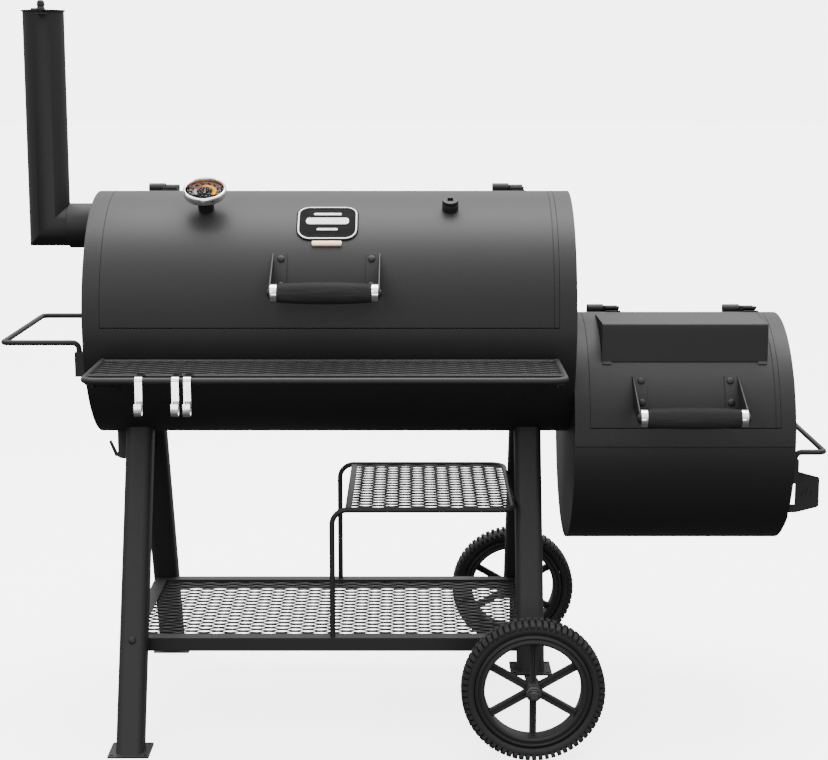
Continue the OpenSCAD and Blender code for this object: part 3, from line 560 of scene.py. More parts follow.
class Finish(Enum):
    """The finishes, each with its coating and the record's slot."""

    PAINT = (SatinPaint(), "black_paint")
    GRIP = (StainedWood(), "grip")
    CHROME = (BrightPlate(), "bright_trim")
    PLAQUE = (PrintedInk((0.0035, 0.0035, 0.0035), 0.66, 0.06), "badge_black")
    BORDER = (PrintedInk((0.80, 0.80, 0.79), 0.45), "badge_black")
    COPPER = (BrushedMetal((0.74, 0.56, 0.38), 0.34, 0.85), "badge_copper")
    DIAL = (PrintedInk((0.0016, 0.0016, 0.0016), 0.7, 0.03), "dial_face")
    DIAL_WHITE = (PrintedInk((0.26, 0.26, 0.25), 0.7, 0.03), "dial_face")
    DIAL_ORANGE = (PrintedInk((0.56, 0.23, 0.002), 0.7, 0.03), "dial_face")
    DIAL_RED = (PrintedInk((0.17, 0.03, 0.014), 0.6, 0.1), "dial_face")
    DIAL_BROWN = (PrintedInk((0.15, 0.045, 0.02), 0.6, 0.1), "dial_face")
    NEEDLE = (PrintedInk((0.11, 0.11, 0.105), 0.6, 0.05), "needle_white")
    GLASS = (ClearLens(), "gauge_glass")
    STEEL = (BrushedMetal((0.07, 0.07, 0.072), 0.45), "axle_steel")
    RUBBER = (Rubber(), "tyre_rubber")
    IRON = (CastIron(), "grate_iron")

    def material(self) -> bpy.types.Material:
        """Returns the finish's material, which is built the first time it is asked for."""
        name = f"{self.name.lower()}_finish"
        return bpy.data.materials.get(name) or self.value[0].build(name)

    @property
    def slot(self) -> str:
        """The record's slot that the finish belongs to."""
        return self.value[1]


# ------ shapes


def to_mesh(form: bmesh.types.BMesh, name: str) -> bpy.types.Mesh:
    """Returns a form as a mesh and frees the form."""
    mesh = bpy.data.meshes.new(name)
    form.to_mesh(mesh)
    form.free()
    return mesh


class Blank:
    """A shape being made, in millimetres from the middle of the cooking barrel."""

    def __init__(self) -> None:
        """Starts with nothing."""
        self.points: list[Vector] = []
        self.faces: list[list[int]] = []

    def add(self, points: Iterable[Sequence[float]], faces: Iterable[Sequence[int]],
            place: Matrix = HERE) -> Blank:
        """Adds points and faces, moved by a place, and returns the blank."""
        base = len(self.points)
        self.points += [place @ Vector(p) for p in points]
        self.faces += [[base + i for i in f] for f in faces]
        return self

    def join(self, other: Blank) -> Blank:
        """Adds another blank as it stands, and returns this one."""
        return self.add(other.points, other.faces)

    def take(self, mesh: bpy.types.Mesh, place: Matrix = HERE) -> Blank:
        """Adds a mesh, moved by a place, and throws the mesh away."""
        self.add([v.co for v in mesh.vertices], [list(p.vertices) for p in mesh.polygons], place)
        bpy.data.meshes.remove(mesh)
        return self

    def loft(self, rings: Sequence[Sequence[Sequence[float]]], place: Matrix = HERE,
             loop: bool = False, caps: bool = True) -> Blank:
        """Joins rings that have the same number of points.

        Args:
            rings: The rings, in order.
            place: Where the shape goes.
            loop: Whether the last ring joins the first.
            caps: Whether the two end rings are closed with a face.

        Returns:
            The blank.
        """
        n = len(rings[0])
        faces: list[list[int]] = []
        for k in range(len(rings) if loop else len(rings) - 1):
            a, b = k * n, (k + 1) % len(rings) * n
            faces += [[a + i, a + (i + 1) % n, b + (i + 1) % n, b + i] for i in range(n)]
        if caps and not loop:
            faces += [list(range(n))[::-1], [(len(rings) - 1) * n + i for i in range(n)]]
        return self.add([p for ring in rings for p in ring], faces, place)

    def lathe(self, profile: Sequence[Flat], place: Matrix = HERE, steps: int = 48) -> Blank:
        """Turns a profile of (radius, height) round local Z.

        Args:
            profile: From pole to pole, or a closed loop that keeps off the axis.
            place: Where the shape goes.
            steps: Facets round the axis.

        Returns:
            The blank.
        """
        rings = [[(*p, h) for p in circle(max(r, 0.0), steps)] for r, h in profile]
        return self.loft(rings, place, loop=profile[0][0] > 0, caps=False)

    def box(self, low: Sequence[float], high: Sequence[float], place: Matrix = HERE) -> Blank:
        """Adds a block between two corners."""
        ring = rect(low[0], low[1], high[0], high[1])
        return self.loft([[(*p, low[2]) for p in ring], [(*p, high[2]) for p in ring]], place)

    def prism(self, outline: Outline, low: float, high: float, place: Matrix = HERE) -> Blank:
        """Pulls one outline from low to high along local Z."""
        return self.loft([[(*p, low) for p in outline], [(*p, high) for p in outline]], place)

    def plate(self, outlines: Sequence[Outline], low: float, high: float,
              place: Matrix = HERE) -> Blank:
        """Cuts a flat plate with holes.

        Args:
            outlines: The outer outline and the holes.
            low: The plate's lower face along local Z.
            high: Its upper face.
            place: Where the plate goes.

        Returns:
            The blank.
        """
        curve = bpy.data.curves.new("cut", "CURVE")
        curve.dimensions, curve.fill_mode = "2D", "BOTH"
        curve.extrude = (high - low) / 2
        for outline in outlines:
            spline = curve.splines.new("POLY")
            spline.points.add(len(outline) - 1)
            for point, (x, y) in zip(spline.points, outline):
                point.co = (x, y, 0, 1)
            spline.use_cyclic_u = True
        holder = bpy.data.objects.new("cut", curve)
        self.take(bpy.data.meshes.new_from_object(holder), place @ at(0, 0, (low + high) / 2))
        bpy.data.objects.remove(holder)
        bpy.data.curves.remove(curve)
        return self

    def tube(self, path: Sequence[Vector], radius: float, sides: int = 20) -> Blank:
        """Sweeps a round section along a path and closes its ends with a small chamfer.

        Args:
            path: The axis's points.
            radius: The rod's radius.
            sides: Facets round the rod.

        Returns:
            The blank.
        """
        nose = radius * 0.18
        first, last = (path[1] - path[0]).normalized(), (path[-1] - path[-2]).normalized()
        points = [path[0], path[0] + first * nose, *path[1:-1], path[-1] - last * nose, path[-1]]
        radii = [radius * 0.82, *[radius] * (len(points) - 2), radius * 0.82]
        between = [((b - a).normalized() + (c - b).normalized()).normalized()
                   for a, b, c in zip(points[1:], points[2:], points[3:])]
        tangents = [first, first, *between, last]
        side = tangents[0].orthogonal().normalized()
        rings = []
        for before, tangent, point, r in zip([first, *tangents], tangents, points, radii):
            side = before.rotation_difference(tangent) @ side
            up = tangent.cross(side).normalized()
            rings.append([point + side * x + up * y for x, y in circle(r, sides)])
        return self.loft(rings)

    def rod(self, a: Sequence[float], b: Sequence[float], radius: float,
            sides: int = 20) -> Blank:
        """Adds a straight rod."""
        start, stop = Vector(a), Vector(b)
        return self.tube([start, start.lerp(stop, 0.5), stop], radius, sides)

    def strip(self, path: Sequence[Flat], thickness: float, x0: float, x1: float) -> Blank:
        """Bends a flat strip along a path in Y and Z.

        Args:
            path: The middle line, as (y, z).
            thickness: The strip's thickness.
            x0: Its near edge.
            x1: Its far edge.

        Returns:
            The blank.
        """
        points = [Vector(p) for p in path]
        rings = []
        for i, point in enumerate(points):
            tangent = (points[min(i + 1, len(points) - 1)] - points[max(i - 1, 0)]).normalized()
            off = Vector((-tangent.y, tangent.x)) * thickness / 2
            a, b = point + off, point - off
            rings.append([(x0, *a), (x1, *a), (x1, *b), (x0, *b)])
        return self.loft(rings)

    def shell(self, drum: Drum, angles: Sequence[float], xs: Sequence[float],
              outer: Sequence[float] | None = None, thick: float | None = None,
              skip: Callable[[int, int], bool] = lambda i, j: False, loop: bool = False) -> Blank:
        """Rolls a sheet with thickness round a drum, leaving out some of its cells.

        Args:
            drum: The drum.
            angles: Angles of the lines along the drum.
            xs: Places of the lines round the drum.
            outer: The outer radius at each x, where it is not the drum's.
            thick: The sheet's thickness inwards.
            skip: Says whether the cell after line i and line j is left out.
            loop: Whether the sheet closes on itself.

        Returns:
            The blank.
        """
        radii = outer or [drum.radius] * len(xs)
        inner = max(radii) - (thick or drum.sheet)
        m, n = len(angles), len(xs)
        kept = {(i, j) for i in range(m if loop else m - 1) for j in range(n - 1)
                if not skip(i, j)}
        points = [drum.point(x, r if layer == 0 else inner, a) for layer in (0, 1)
                  for a in angles for x, r in zip(xs, radii)]

        def index(i: int, j: int, layer: int) -> int:
            """Returns a point's number."""
            return layer * m * n + (i % m) * n + j

        faces = []
        for i, j in kept:
            corners = [(i, j), (i + 1, j), (i + 1, j + 1), (i, j + 1)]
            faces.append([index(*c, 0) for c in corners])
            faces.append([index(*c, 1) for c in reversed(corners)])
            sides = [((i, j), (i, j + 1), ((i - 1) % m, j)),
                     ((i + 1, j), (i + 1, j + 1), ((i + 1) % m, j)),
                     ((i, j), (i + 1, j), (i, j - 1)), ((i, j + 1), (i + 1, j + 1), (i, j + 1))]
            for a, b, beside in sides:
                if beside not in kept:
                    faces.append([index(*a, 0), index(*b, 0), index(*b, 1), index(*a, 1)])
        return self.add(points, faces)

    def band(self, drum: Drum, angles: Sequence[float], x0: float, x1: float,
             thick: float, lift: float = 0.0) -> Blank:
        """Rolls a plain band round the outside of a drum.

        Args:
            drum: The drum.
            angles: Angles of the lines along the drum.
            x0: The band's left edge.
            x1: Its right edge.
            thick: How far its outer face stands off the drum.
            lift: How far its inner face does.

        Returns:
            The blank.
        """
        return self.shell(drum, angles, [x0, x1], [drum.radius + thick] * 2, thick - lift)

    def pad(self, rings: Sequence[tuple[float, float, float, float]], bend: Callable,
            centre: Flat = (0, 0), steps: int = 6) -> Blank:
        """Lofts rounded rectangles of (width, height, corner, lift) and bends them on a drum."""
        made = [[bend(Vector((*p, lift))) for p in rounded(w, h, r, centre, steps)]
                for w, h, r, lift in rings]
        return self.loft(made)

    def mesh(self, name: str) -> bpy.types.Mesh:
        """Returns the shape's form as a mesh."""
        return to_mesh(self.form(), name)

    def form(self) -> bmesh.types.BMesh:
        """Returns the shape with its doubles merged, loose points gone and faces outwards."""
        mesh = bpy.data.meshes.new("form")
        mesh.from_pydata([tuple(p) for p in self.points], [], self.faces)
        bm = bmesh.new()
        bm.from_mesh(mesh)
        bpy.data.meshes.remove(mesh)
        bmesh.ops.remove_doubles(bm, verts=bm.verts, dist=0.001)
        bmesh.ops.delete(bm, geom=[v for v in bm.verts if not v.link_faces], context="VERTS")
        bmesh.ops.recalc_face_normals(bm, faces=bm.faces)
        return bm


# ------ repeats


class Pattern(Wiring):
    """A Geometry Nodes tree that lays copies of one unit."""

    def __init__(self, name: str) -> None:
        """Starts the tree with the two inputs that every pattern has."""
        super().__init__(bpy.data.node_groups.new(name, "GeometryNodeTree"))
        self.keys: dict[str, str] = {}
        self.tree.interface.new_socket("Geometry", in_out="OUTPUT",
                                       socket_type="NodeSocketGeometry")
        self.entry = self.tree.nodes.new("NodeGroupInput")
        self.exit = self.tree.nodes.new("NodeGroupOutput")
        self.points = self.size("Points", "Geometry")
        self.unit = self.size("Unit", "Object")

    def size(self, name: str, kind: str) -> Sock:
        """Adds a named input and returns its socket."""
        made = self.tree.interface.new_socket(name, in_out="INPUT",
                                              socket_type=f"NodeSocket{kind}")
        self.keys[name] = made.identifier
        return Sock(self, self.entry.outputs[name])

    def end(self, points: Sock, turn: Sock | None = None, choose: Sock | None = None) -> None:
        """Puts the unit on the points, turned or chosen where that is given."""
        unit = self.node("GeometryNodeObjectInfo", {"transform_space": "ORIGINAL"},
                         {"Object": self.unit}, out="Geometry")
        inputs: dict[str | int, object] = {"Points": points, "Instance": unit}
        if turn is not None:
            inputs["Rotation"] = turn
        if choose is not None:
            inputs["Selection"] = choose
        copies = self.node("GeometryNodeInstanceOnPoints", {}, inputs)
        real = self.node("GeometryNodeRealizeInstances", {}, {0: copies})
        self.tree.links.new(real.out, self.exit.inputs[0])

    def lay(self, unit: Blank, values: dict[str, object] | None = None,
            carrier: bpy.types.Mesh | None = None) -> bpy.types.Mesh:
        """Runs the tree once.

        Args:
            unit: The shape that is repeated.
            values: The tree's named sizes.
            carrier: The mesh whose points carry the copies, where the tree needs one.

        Returns:
            The copies as one plain mesh.
        """
        shape = unit.mesh("unit")
        model = bpy.data.objects.new("unit", shape)
        holder = bpy.data.objects.new("carrier", carrier or bpy.data.meshes.new("carrier"))
        for made in (model, holder):
            bpy.context.scene.collection.objects.link(made)
        modifier = holder.modifiers.new("repeat", "NODES")
        modifier.node_group = self.tree
        modifier[self.keys["Unit"]] = model
        for name, value in (values or {}).items():
            modifier[self.keys[name]] = value
        seen = holder.evaluated_get(bpy.context.evaluated_depsgraph_get())
        result = bpy.data.meshes.new_from_object(seen)
        spent = (shape, holder.data)
        for made in (model, holder):
            bpy.data.objects.remove(made)
        for mesh in spent:
            bpy.data.meshes.remove(mesh)
        return result


class Bench:
    """What the assemblies share: the frame's nodes and the trees of the repeated parts."""

    def __init__(self, nodes: dict[str, bpy.types.Object]) -> None:
        """Keeps the frame's nodes and builds every tree once."""
        self.nodes = nodes
        self.ring = self.make_ring()
        self.row = self.make_row()
        self.lattice = self.make_lattice()
        self.studs = self.make_studs()

    @staticmethod
    def make_ring() -> Pattern:
        """Returns a tree that turns copies round local Z."""
        p = Pattern("ring of copies")
        count, phase = p.size("Count", "Int"), p.size("Phase", "Float")
        share = p.size("Sweep", "Float")
        index = p.node("GeometryNodeInputIndex")
        line = p.node("GeometryNodeMeshLine", {"mode": "OFFSET"},
                      {"Count": count, "Offset": (0, 0, 0)})
        turn = p.node("ShaderNodeCombineXYZ", {}, {"Z": index * share / count + phase})
        p.end(line, turn)
        return p

    @staticmethod
    def make_row() -> Pattern:
        """Returns a tree that lays copies in a centred row along local X."""
        p = Pattern("row of copies")
        count, step = p.size("Count", "Int"), p.size("Step", "Float")
        start = p.node("ShaderNodeCombineXYZ", {}, {"X": (count - 1.0) * step * -0.5})
        offset = p.node("ShaderNodeCombineXYZ", {}, {"X": step})
        p.end(p.node("GeometryNodeMeshLine", {"mode": "OFFSET"},
                     {"Count": count, "Start Location": start, "Offset": offset}))
        return p

    @staticmethod
    def make_lattice() -> Pattern:
        """Returns a tree that lays copies on every other point of a grid."""
        p = Pattern("staggered copies")
        columns, rows = p.size("Columns", "Int"), p.size("Rows", "Int")
        dx, dy = p.size("Half long", "Float"), p.size("Half short", "Float")
        grid = p.node("GeometryNodeMeshGrid", {}, {
            "Size X": (columns - 1.0) * dx, "Size Y": (rows - 1.0) * dy,
            "Vertices X": columns, "Vertices Y": rows})
        index = p.node("GeometryNodeInputIndex")
        across, along = (index / rows + 0.0001).floor(), index % rows
        middle = (columns - 1.0) * 0.5 + (rows - 1.0) * 0.5
        odd = (across + along + middle) % 2.0
        keep = p.node("FunctionNodeCompare", {"data_type": "FLOAT", "operation": "LESS_THAN"},
                      {0: odd, 1: 0.5})
        p.end(grid, choose=keep)
        return p

    @staticmethod
    def make_studs() -> Pattern:
        """Returns a tree that stands copies on a carrier's points, along its facing."""
        p = Pattern("studs on a surface")
        facing = p.node("GeometryNodeInputNamedAttribute", {"data_type": "FLOAT_VECTOR"},
                        {"Name": "facing"})
        turn = p.node("FunctionNodeAlignRotationToVector", {"axis": "Z"}, {"Vector": facing})
        p.end(p.points, turn)
        return p

    def around(self, unit: Blank, count: int, phase: float = 0.0,
               sweep: float = 2 * math.pi) -> bpy.types.Mesh:
        """Returns copies of a unit turned round local Z, the first at a phase."""
        return self.ring.lay(unit, {"Count": count, "Phase": phase, "Sweep": sweep})

    def stud_set(self, unit: Blank, places: Sequence[Matrix]) -> bpy.types.Mesh:
        """Returns copies of a unit standing on the given places, in the places' own units."""
        carrier = bpy.data.meshes.new("carrier")
        carrier.from_pydata([tuple(m.translation) for m in places], [], [])
        facing = carrier.attributes.new("facing", "FLOAT_VECTOR", "POINT")
        for item, m in zip(facing.data, places):
            item.vector = m.to_3x3() @ Vector((0, 0, 1))
        return self.studs.lay(unit, carrier=carrier)

    def dress(self, node: str, finish: Finish) -> None:
        """Gives a frame node that stays as it is its finish."""
        data = self.nodes[node].data
        data.materials.clear()
        data.materials.append(finish.material())
        LOG.info("%s keeps its shape, %s", node, finish.name)


# ------ assemblies


@dataclass
class Assembly:
    """A part of the smoker, made in steps and booked piece by piece with the frame."""

    bench: Bench
    steps: ClassVar[tuple[Callable[..., None], ...]] = ()

    def build(self) -> None:
        """Takes the steps in order."""
        for step in self.steps:
            step(self)

    def piece(self, name: str, shape: Blank | bmesh.types.BMesh, node: str = "",
              finish: Finish = Finish.PAINT, body: str = "frame", edge: float = 0.4,
              crease: float = 33.0) -> None:
        """Books one piece.

        Args:
            name: The piece's name.
            shape: Its blank, or its form where that was worked on.
            node: The frame's node that it replaces, where it replaces one.
            finish: Its finish.
            body: The body it rides on.
            edge: The width of its broken edges, or 0 for none.
            crease: The angle past which an edge shades sharp.
        """
        mesh = shape.mesh(name) if isinstance(shape, Blank) else to_mesh(shape, name)
        mesh.transform(TO_FRAME)
        mesh.materials.append(finish.material())
        for polygon in mesh.polygons:
            polygon.use_smooth = True
        mesh.set_sharp_from_angle(angle=math.radians(crease))
        made = bpy.data.objects.new(name, mesh)
        bpy.context.scene.collection.objects.link(made)
        if edge > 0:
            bevel = made.modifiers.new("broken edges", "BEVEL")
            bevel.width, bevel.segments = edge * MM, 2
            bevel.limit_method, bevel.angle_limit = "ANGLE", math.radians(crease)
            bevel.harden_normals = True
        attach(made, body)
        if node:
            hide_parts(node)
        LOG.info("%s: %d faces, %s, on %s", name, len(mesh.polygons), finish.name, body)


def dome_screw(radius: float, height: float) -> Blank:
    """Returns a domed screw head on a thin washer, standing on local Z."""
    cap = [(radius * math.cos(t), 0.9 + (height - 0.9) * math.sin(t))
           for t in [math.radians(a) for a in (8, 25, 42, 60, 77)]]
    return Blank().lathe([(0, -0.3), (radius, -0.3), (radius, 0.7), *cap, (0, height)], steps=24)


def sleeve(bore: float, radius: float, low: float, high: float, chamfer: float) -> Outline:
    """Returns the profile of a bored round with chamfered rims."""
    inset = radius - chamfer
    return [(bore, low), (inset, low), (radius, low + chamfer), (radius, high - chamfer),
            (inset, high), (bore, high)]


def mirrored(half: Outline) -> Outline:
    """Returns a profile with its mirror image below it."""
    return half + [(r, -h) for r, h in reversed(half)]


def hex_nut(radius: float, low: float, high: float, place: Matrix) -> Blank:
    """Returns a hexagonal nut with chamfered corners."""
    rings = [(0.93, low), (1.0, low + 0.8), (1.0, high - 0.8), (0.93, high)]
    return Blank().loft([[(*p, h) for p in circle(radius * k, 6)] for k, h in rings], place)


# ------ drums


def heat_opening(margin: float = 26.0) -> Outline:
    """Returns the opening between the barrel and the firebox, in Y and Z."""
    ra, rb, gap = BARREL.radius - margin, FIREBOX.radius - margin, BARREL.z - FIREBOX.z
    up = (rb * rb - ra * ra + gap * gap) / (2 * gap)
    half = math.sqrt(rb * rb - up * up)
    low = math.degrees(math.atan2(up - gap, half))
    high = math.degrees(math.atan2(up, half))
    return (arc(ra, -180 - low, low, 24, (0, BARREL.z))
            + arc(rb, high, 180 - high, 24, (0, FIREBOX.z)))


@dataclass
class CookingBarrel(Assembly):
    """The fixed drum, its two end plates, its drain and the grates inside it."""

    lid_half: float = 408.5
    lid_gap: float = 1.5
    lid_front: float = -0.4
    lid_back: float = 108.6
    drain_x: float = -396.4
    drain_r: float = 25.0
    grate_z: float = 738.0
    grate_depth: float = 410.0

    def drum(self) -> None:
        """Makes the drum with the mouth that the lid covers."""
        cells = 58
        front = spread(self.lid_front, self.lid_back, cells)
        back = spread(self.lid_back, self.lid_front + 360, 134)
        mouth = self.lid_half + self.lid_gap
        shape = Blank().shell(BARREL, front[:-1] + back[:-1],
                              [-BARREL.half, -mouth, mouth, BARREL.half],
                              skip=lambda i, j: i < cells and j == 1, loop=True)
        self.piece("barrel_drum", shape, "barrel_shell", edge=0.35)

    def ends(self) -> None:
        """Makes the end plates, each set just inside the drum."""
        rim = circle(BARREL.radius - BARREL.sheet, 144, (0, BARREL.z))
        flue = circle(35.5, 48, (0, 930.0))
        for name, side, hole in (("left", -1, flue), ("right", 1, heat_opening())):
            outer = side * BARREL.half
            low, high = sorted((outer, outer - side * BARREL.sheet))
            self.piece(f"barrel_plate_{name}", Blank().plate([rim, hole], low, high, SIDEWAYS),
                       f"barrel_end_{name}")

    def drain(self) -> None:
        """Makes the grease spout with its rolled lip and the leaning hook for its bucket."""
        r, top, low = self.drain_r, 546.0, 484.0
        spout = Blank().lathe([(r - 3, low), (r - 0.8, low), (r, low + 0.8), (r, low + 4),
                               (r - 0.8, low + 5.5), (r - 0.8, top), (r - 3, top)],
                              at(self.drain_x, 0, 0), 48)
        left = self.drain_x - r
        hook = [(left + 1.6, -485), (left - 4, -485), (left - 15.6, -514), (left - 12.6, -515.3),
                (left - 1.5, -491), (left + 1.6, -491)]
        spout.prism(hook, -6, 6, Matrix.Rotation(-math.pi / 2, 4, "X"))
        self.piece("grease_spout", spout, "grease_drain")

    def grates(self) -> None:
        """Makes the three cooking grates with their rows of bars."""
        width = (2 * BARREL.half - 24) / 3 - 1
        shape = Blank()
        for i in (-1, 0, 1):
            shape.take(grate(self.bench, width, self.grate_depth, 9.0),
                       at(i * (width + 2), 0, self.grate_z))
        self.piece("grate_set", shape, "cooking_grates", Finish.IRON, edge=0.8)
        self.bench.dress("grate_rails", Finish.IRON)

    steps = (drum, ends, drain, grates)


def grate(bench: Bench, width: float, depth: float, thick: float) -> bpy.types.Mesh:
    """Returns one cast grate: a border, a middle rib and bars that taper downwards."""
    bars, border = 12, 8.0
    pitch = (width - 2 * border) / bars
    top, foot = pitch * 0.42 / 2, pitch * 0.26 / 2
    ends = [[(-foot, y, 1.0), (foot, y, 1.0), (top, y, thick - 1.5), (top * 0.7, y, thick),
             (-top * 0.7, y, thick), (-top, y, thick - 1.5)]
            for y in (-depth / 2 + 4, depth / 2 - 4)]
    laid = bench.row.lay(Blank().loft(ends), {"Count": bars + 1, "Step": pitch})
    shape = Blank().take(laid)
    shape.plate([rounded(width, depth, 6), rounded(width - 2 * border, depth - 2 * border, 4)],
                0, thick)
    shape.box((-width / 2 + 4, -6, 1), (width / 2 - 4, 6, thick - 1))
    return shape.mesh("grate")


@dataclass
class DrumLid(Assembly):
    """A curved lid with a pressed line beside its right edge."""

    drum: Drum
    name: str
    node: str
    body: str
    half: float
    front: float
    back: float
    line: float = 9.0

    def build(self) -> None:
        """Makes the lid."""
        x0, x1 = self.drum.middle - self.half, self.drum.middle + self.half
        groove = x1 - self.line
        xs = [x0, groove - 0.9, groove - 0.5, groove + 0.5, groove + 0.9, x1]
        r = self.drum.radius
        shape = Blank().shell(self.drum, spread(self.front, self.back, 60), xs,
                              [r, r, r - 0.8, r - 0.8, r, r])
        self.piece(self.name, shape, self.node, body=self.body, edge=0.3, crease=28)


@dataclass
class LiftOffHinges(Assembly):
    """A pair of hinges: fixed bored sockets and pins in knuckles on the lid."""

    drum: Drum
    prefix: str
    body: str
    xs: tuple[float, float]
    y: float
    z: float
    socket: float = 32.0
    knuckle: float = 26.0
    gap: float = 2.5
    wall: float = 2.5

    def __post_init__(self) -> None:
        """Works out how the hinge leans."""
        self.reach = math.hypot(self.y, self.z - self.drum.z)
        self.lean = math.degrees(math.atan2(self.y, self.z - self.drum.z))

    def leaned(self, x: float) -> Matrix:
        """Returns a place at the drum's axis whose local Z points at the hinge's axis."""
        return at(x, 0, self.drum.z) @ Matrix.Rotation(-math.radians(self.lean), 4, "X")

    def sockets(self) -> None:
        """Makes the fixed sockets, their blocks and their saddles."""
        shape = Blank()
        for x in self.xs:
            left = x - self.socket + self.gap
            shape.lathe(sleeve(4.3, 9, 0, self.socket, 0.8), along_x(left, self.y, self.z), 40)
            shape.box((1, -6, self.drum.radius + 0.2), (self.socket - 1, 6, self.reach - 3),
                      self.leaned(left))
            shape.band(self.drum, spread(87.8 + self.lean, 103 + self.lean, 8), left,
                       x + self.gap, self.wall)
        self.piece(f"{self.prefix}_sockets", shape, f"{self.prefix}_hinge_sockets")

    def pins(self) -> None:
        """Makes the pins, their knuckles and the straps on the lid."""
        shape, r = Blank(), self.drum.radius
        top = min(self.reach - r + 1.6, 17.5)
        run = min(44.0, (17.5 - top) / 0.25)
        strap = [(-44, r + 2.4), (0, r + 2.4), (0, r + top), (-run - 0.5, r + top), (-44, r + 6.5)]
        for x in self.xs:
            shape.lathe([(0, -0.8), (3.4, -0.8), (4, 0), (4, 40), (0, 40)],
                        along_x(x - 28, self.y, self.z), 28)
            left, length = x + 3, self.knuckle
            shape.lathe([(3.5, 0), (5.8, 0), (6.5, 0.7), (6.5, 25.3), (5.8, length),
                         (0, length), (3.5, length)], along_x(left, self.y, self.z), 36)
            shape.loft([[(0, *p) for p in strap], [(length, *p) for p in strap]],
                       self.leaned(left))
            shape.band(self.drum, spread(74 + self.lean, 84.8 + self.lean, 8), left,
                       left + length, self.wall)
        self.piece(f"{self.prefix}_pins", shape, f"{self.prefix}_hinge_pins", body=self.body)

    steps = (sockets, pins)


@dataclass
class LidHandle(Assembly):
    """A turned grip between bright ferrules on two bent brackets."""

    drum: Drum
    prefix: str
    body: str
    x: float
    y: float
    z: float
    flange: tuple[float, float]
    half: float = 95.4
    grip_r: float = 19.3
    ferrule: float = 11.6
    wall: float = 2.5

    def brackets(self) -> None:
        """Makes the two side plates and their screwed flanges."""
        shape, r, (a0, a1) = Blank(), self.drum.radius, self.flange
        foot = [self.drum.point(0, r + 0.1, a) for a in spread(a0, a1, 8)]
        tip = self.drum.point(0, r + 2.4, a1)
        outline = ([(p.y, p.z) for p in foot] + [(tip.y, tip.z)]
                   + arc(11, 112, 270, 9, (self.y, self.z)))
        for s in (-1, 1):
            inner = self.x + s * self.half
            shape.plate([outline], inner - self.wall / 2, inner + self.wall / 2, SIDEWAYS)
            edge = inner + s * self.wall / 2
            shape.band(self.drum, spread(a0, a1, 10), *sorted((edge, inner - s * 25)), self.wall)
        self.piece(f"{self.prefix}_handle_plates", shape, f"{self.prefix}_handle_brackets",
                   body=self.body, edge=0.5)

    def grip(self) -> None:
        """Makes the barrel-shaped grip."""
        half = self.half - self.wall / 2 - self.ferrule
        curve = [(self.grip_r - 2.9 * t * t, half * t) for t in spread(-1, 1, 20)]
        profile = [(0, -half + 0.1), (curve[0][0] - 0.7, -half), *curve[1:-1],
                   (curve[-1][0] - 0.7, half), (0, half - 0.1)]
        self.piece(f"{self.prefix}_grip",
                   Blank().lathe(profile, along_x(self.x, self.y, self.z), 56),
                   f"{self.prefix}_handle_grip", Finish.GRIP, self.body, edge=0)

    def ferrules(self) -> None:
        """Makes the bright ferrules with their broken rims."""
        shape, h = Blank(), self.ferrule / 2
        profile = [(4, -h), (15.8, -h), (16.3, -h + 0.3), (16.5, -h + 0.9), (16.5, h - 0.9),
                   (16.3, h - 0.3), (15.8, h), (4, h)]
        for s in (-1, 1):
            shape.lathe(profile, along_x(self.x + s * (self.half - self.wall / 2 - h),
                                         self.y, self.z), 56)
        self.piece(f"{self.prefix}_ferrules", shape, f"{self.prefix}_handle_ferrules",
                   Finish.CHROME, self.body, edge=0)

    def screws(self) -> None:
        """Makes the flange screws and the through bolt's end domes."""
        seats = [self.drum.seat(self.x + s * (self.half - 14.5), a, self.wall)
                 for s in (-1, 1) for a in (self.flange[0] + 2.8, self.flange[1] - 2.8)]
        shape = Blank().take(self.bench.stud_set(dome_screw(6.75, 3.6), seats))
        ends = [Matrix.Translation((self.x + s * (self.half + self.wall / 2), self.y, self.z))
                @ Matrix.Rotation(s * math.pi / 2, 4, "Y") for s in (-1, 1)]
        shape.take(self.bench.stud_set(dome_screw(7.0, 4.0), ends))
        self.piece(f"{self.prefix}_screws", shape, f"{self.prefix}_handle_screws", body=self.body,
                   edge=0)

    steps = (brackets, grip, ferrules, screws)


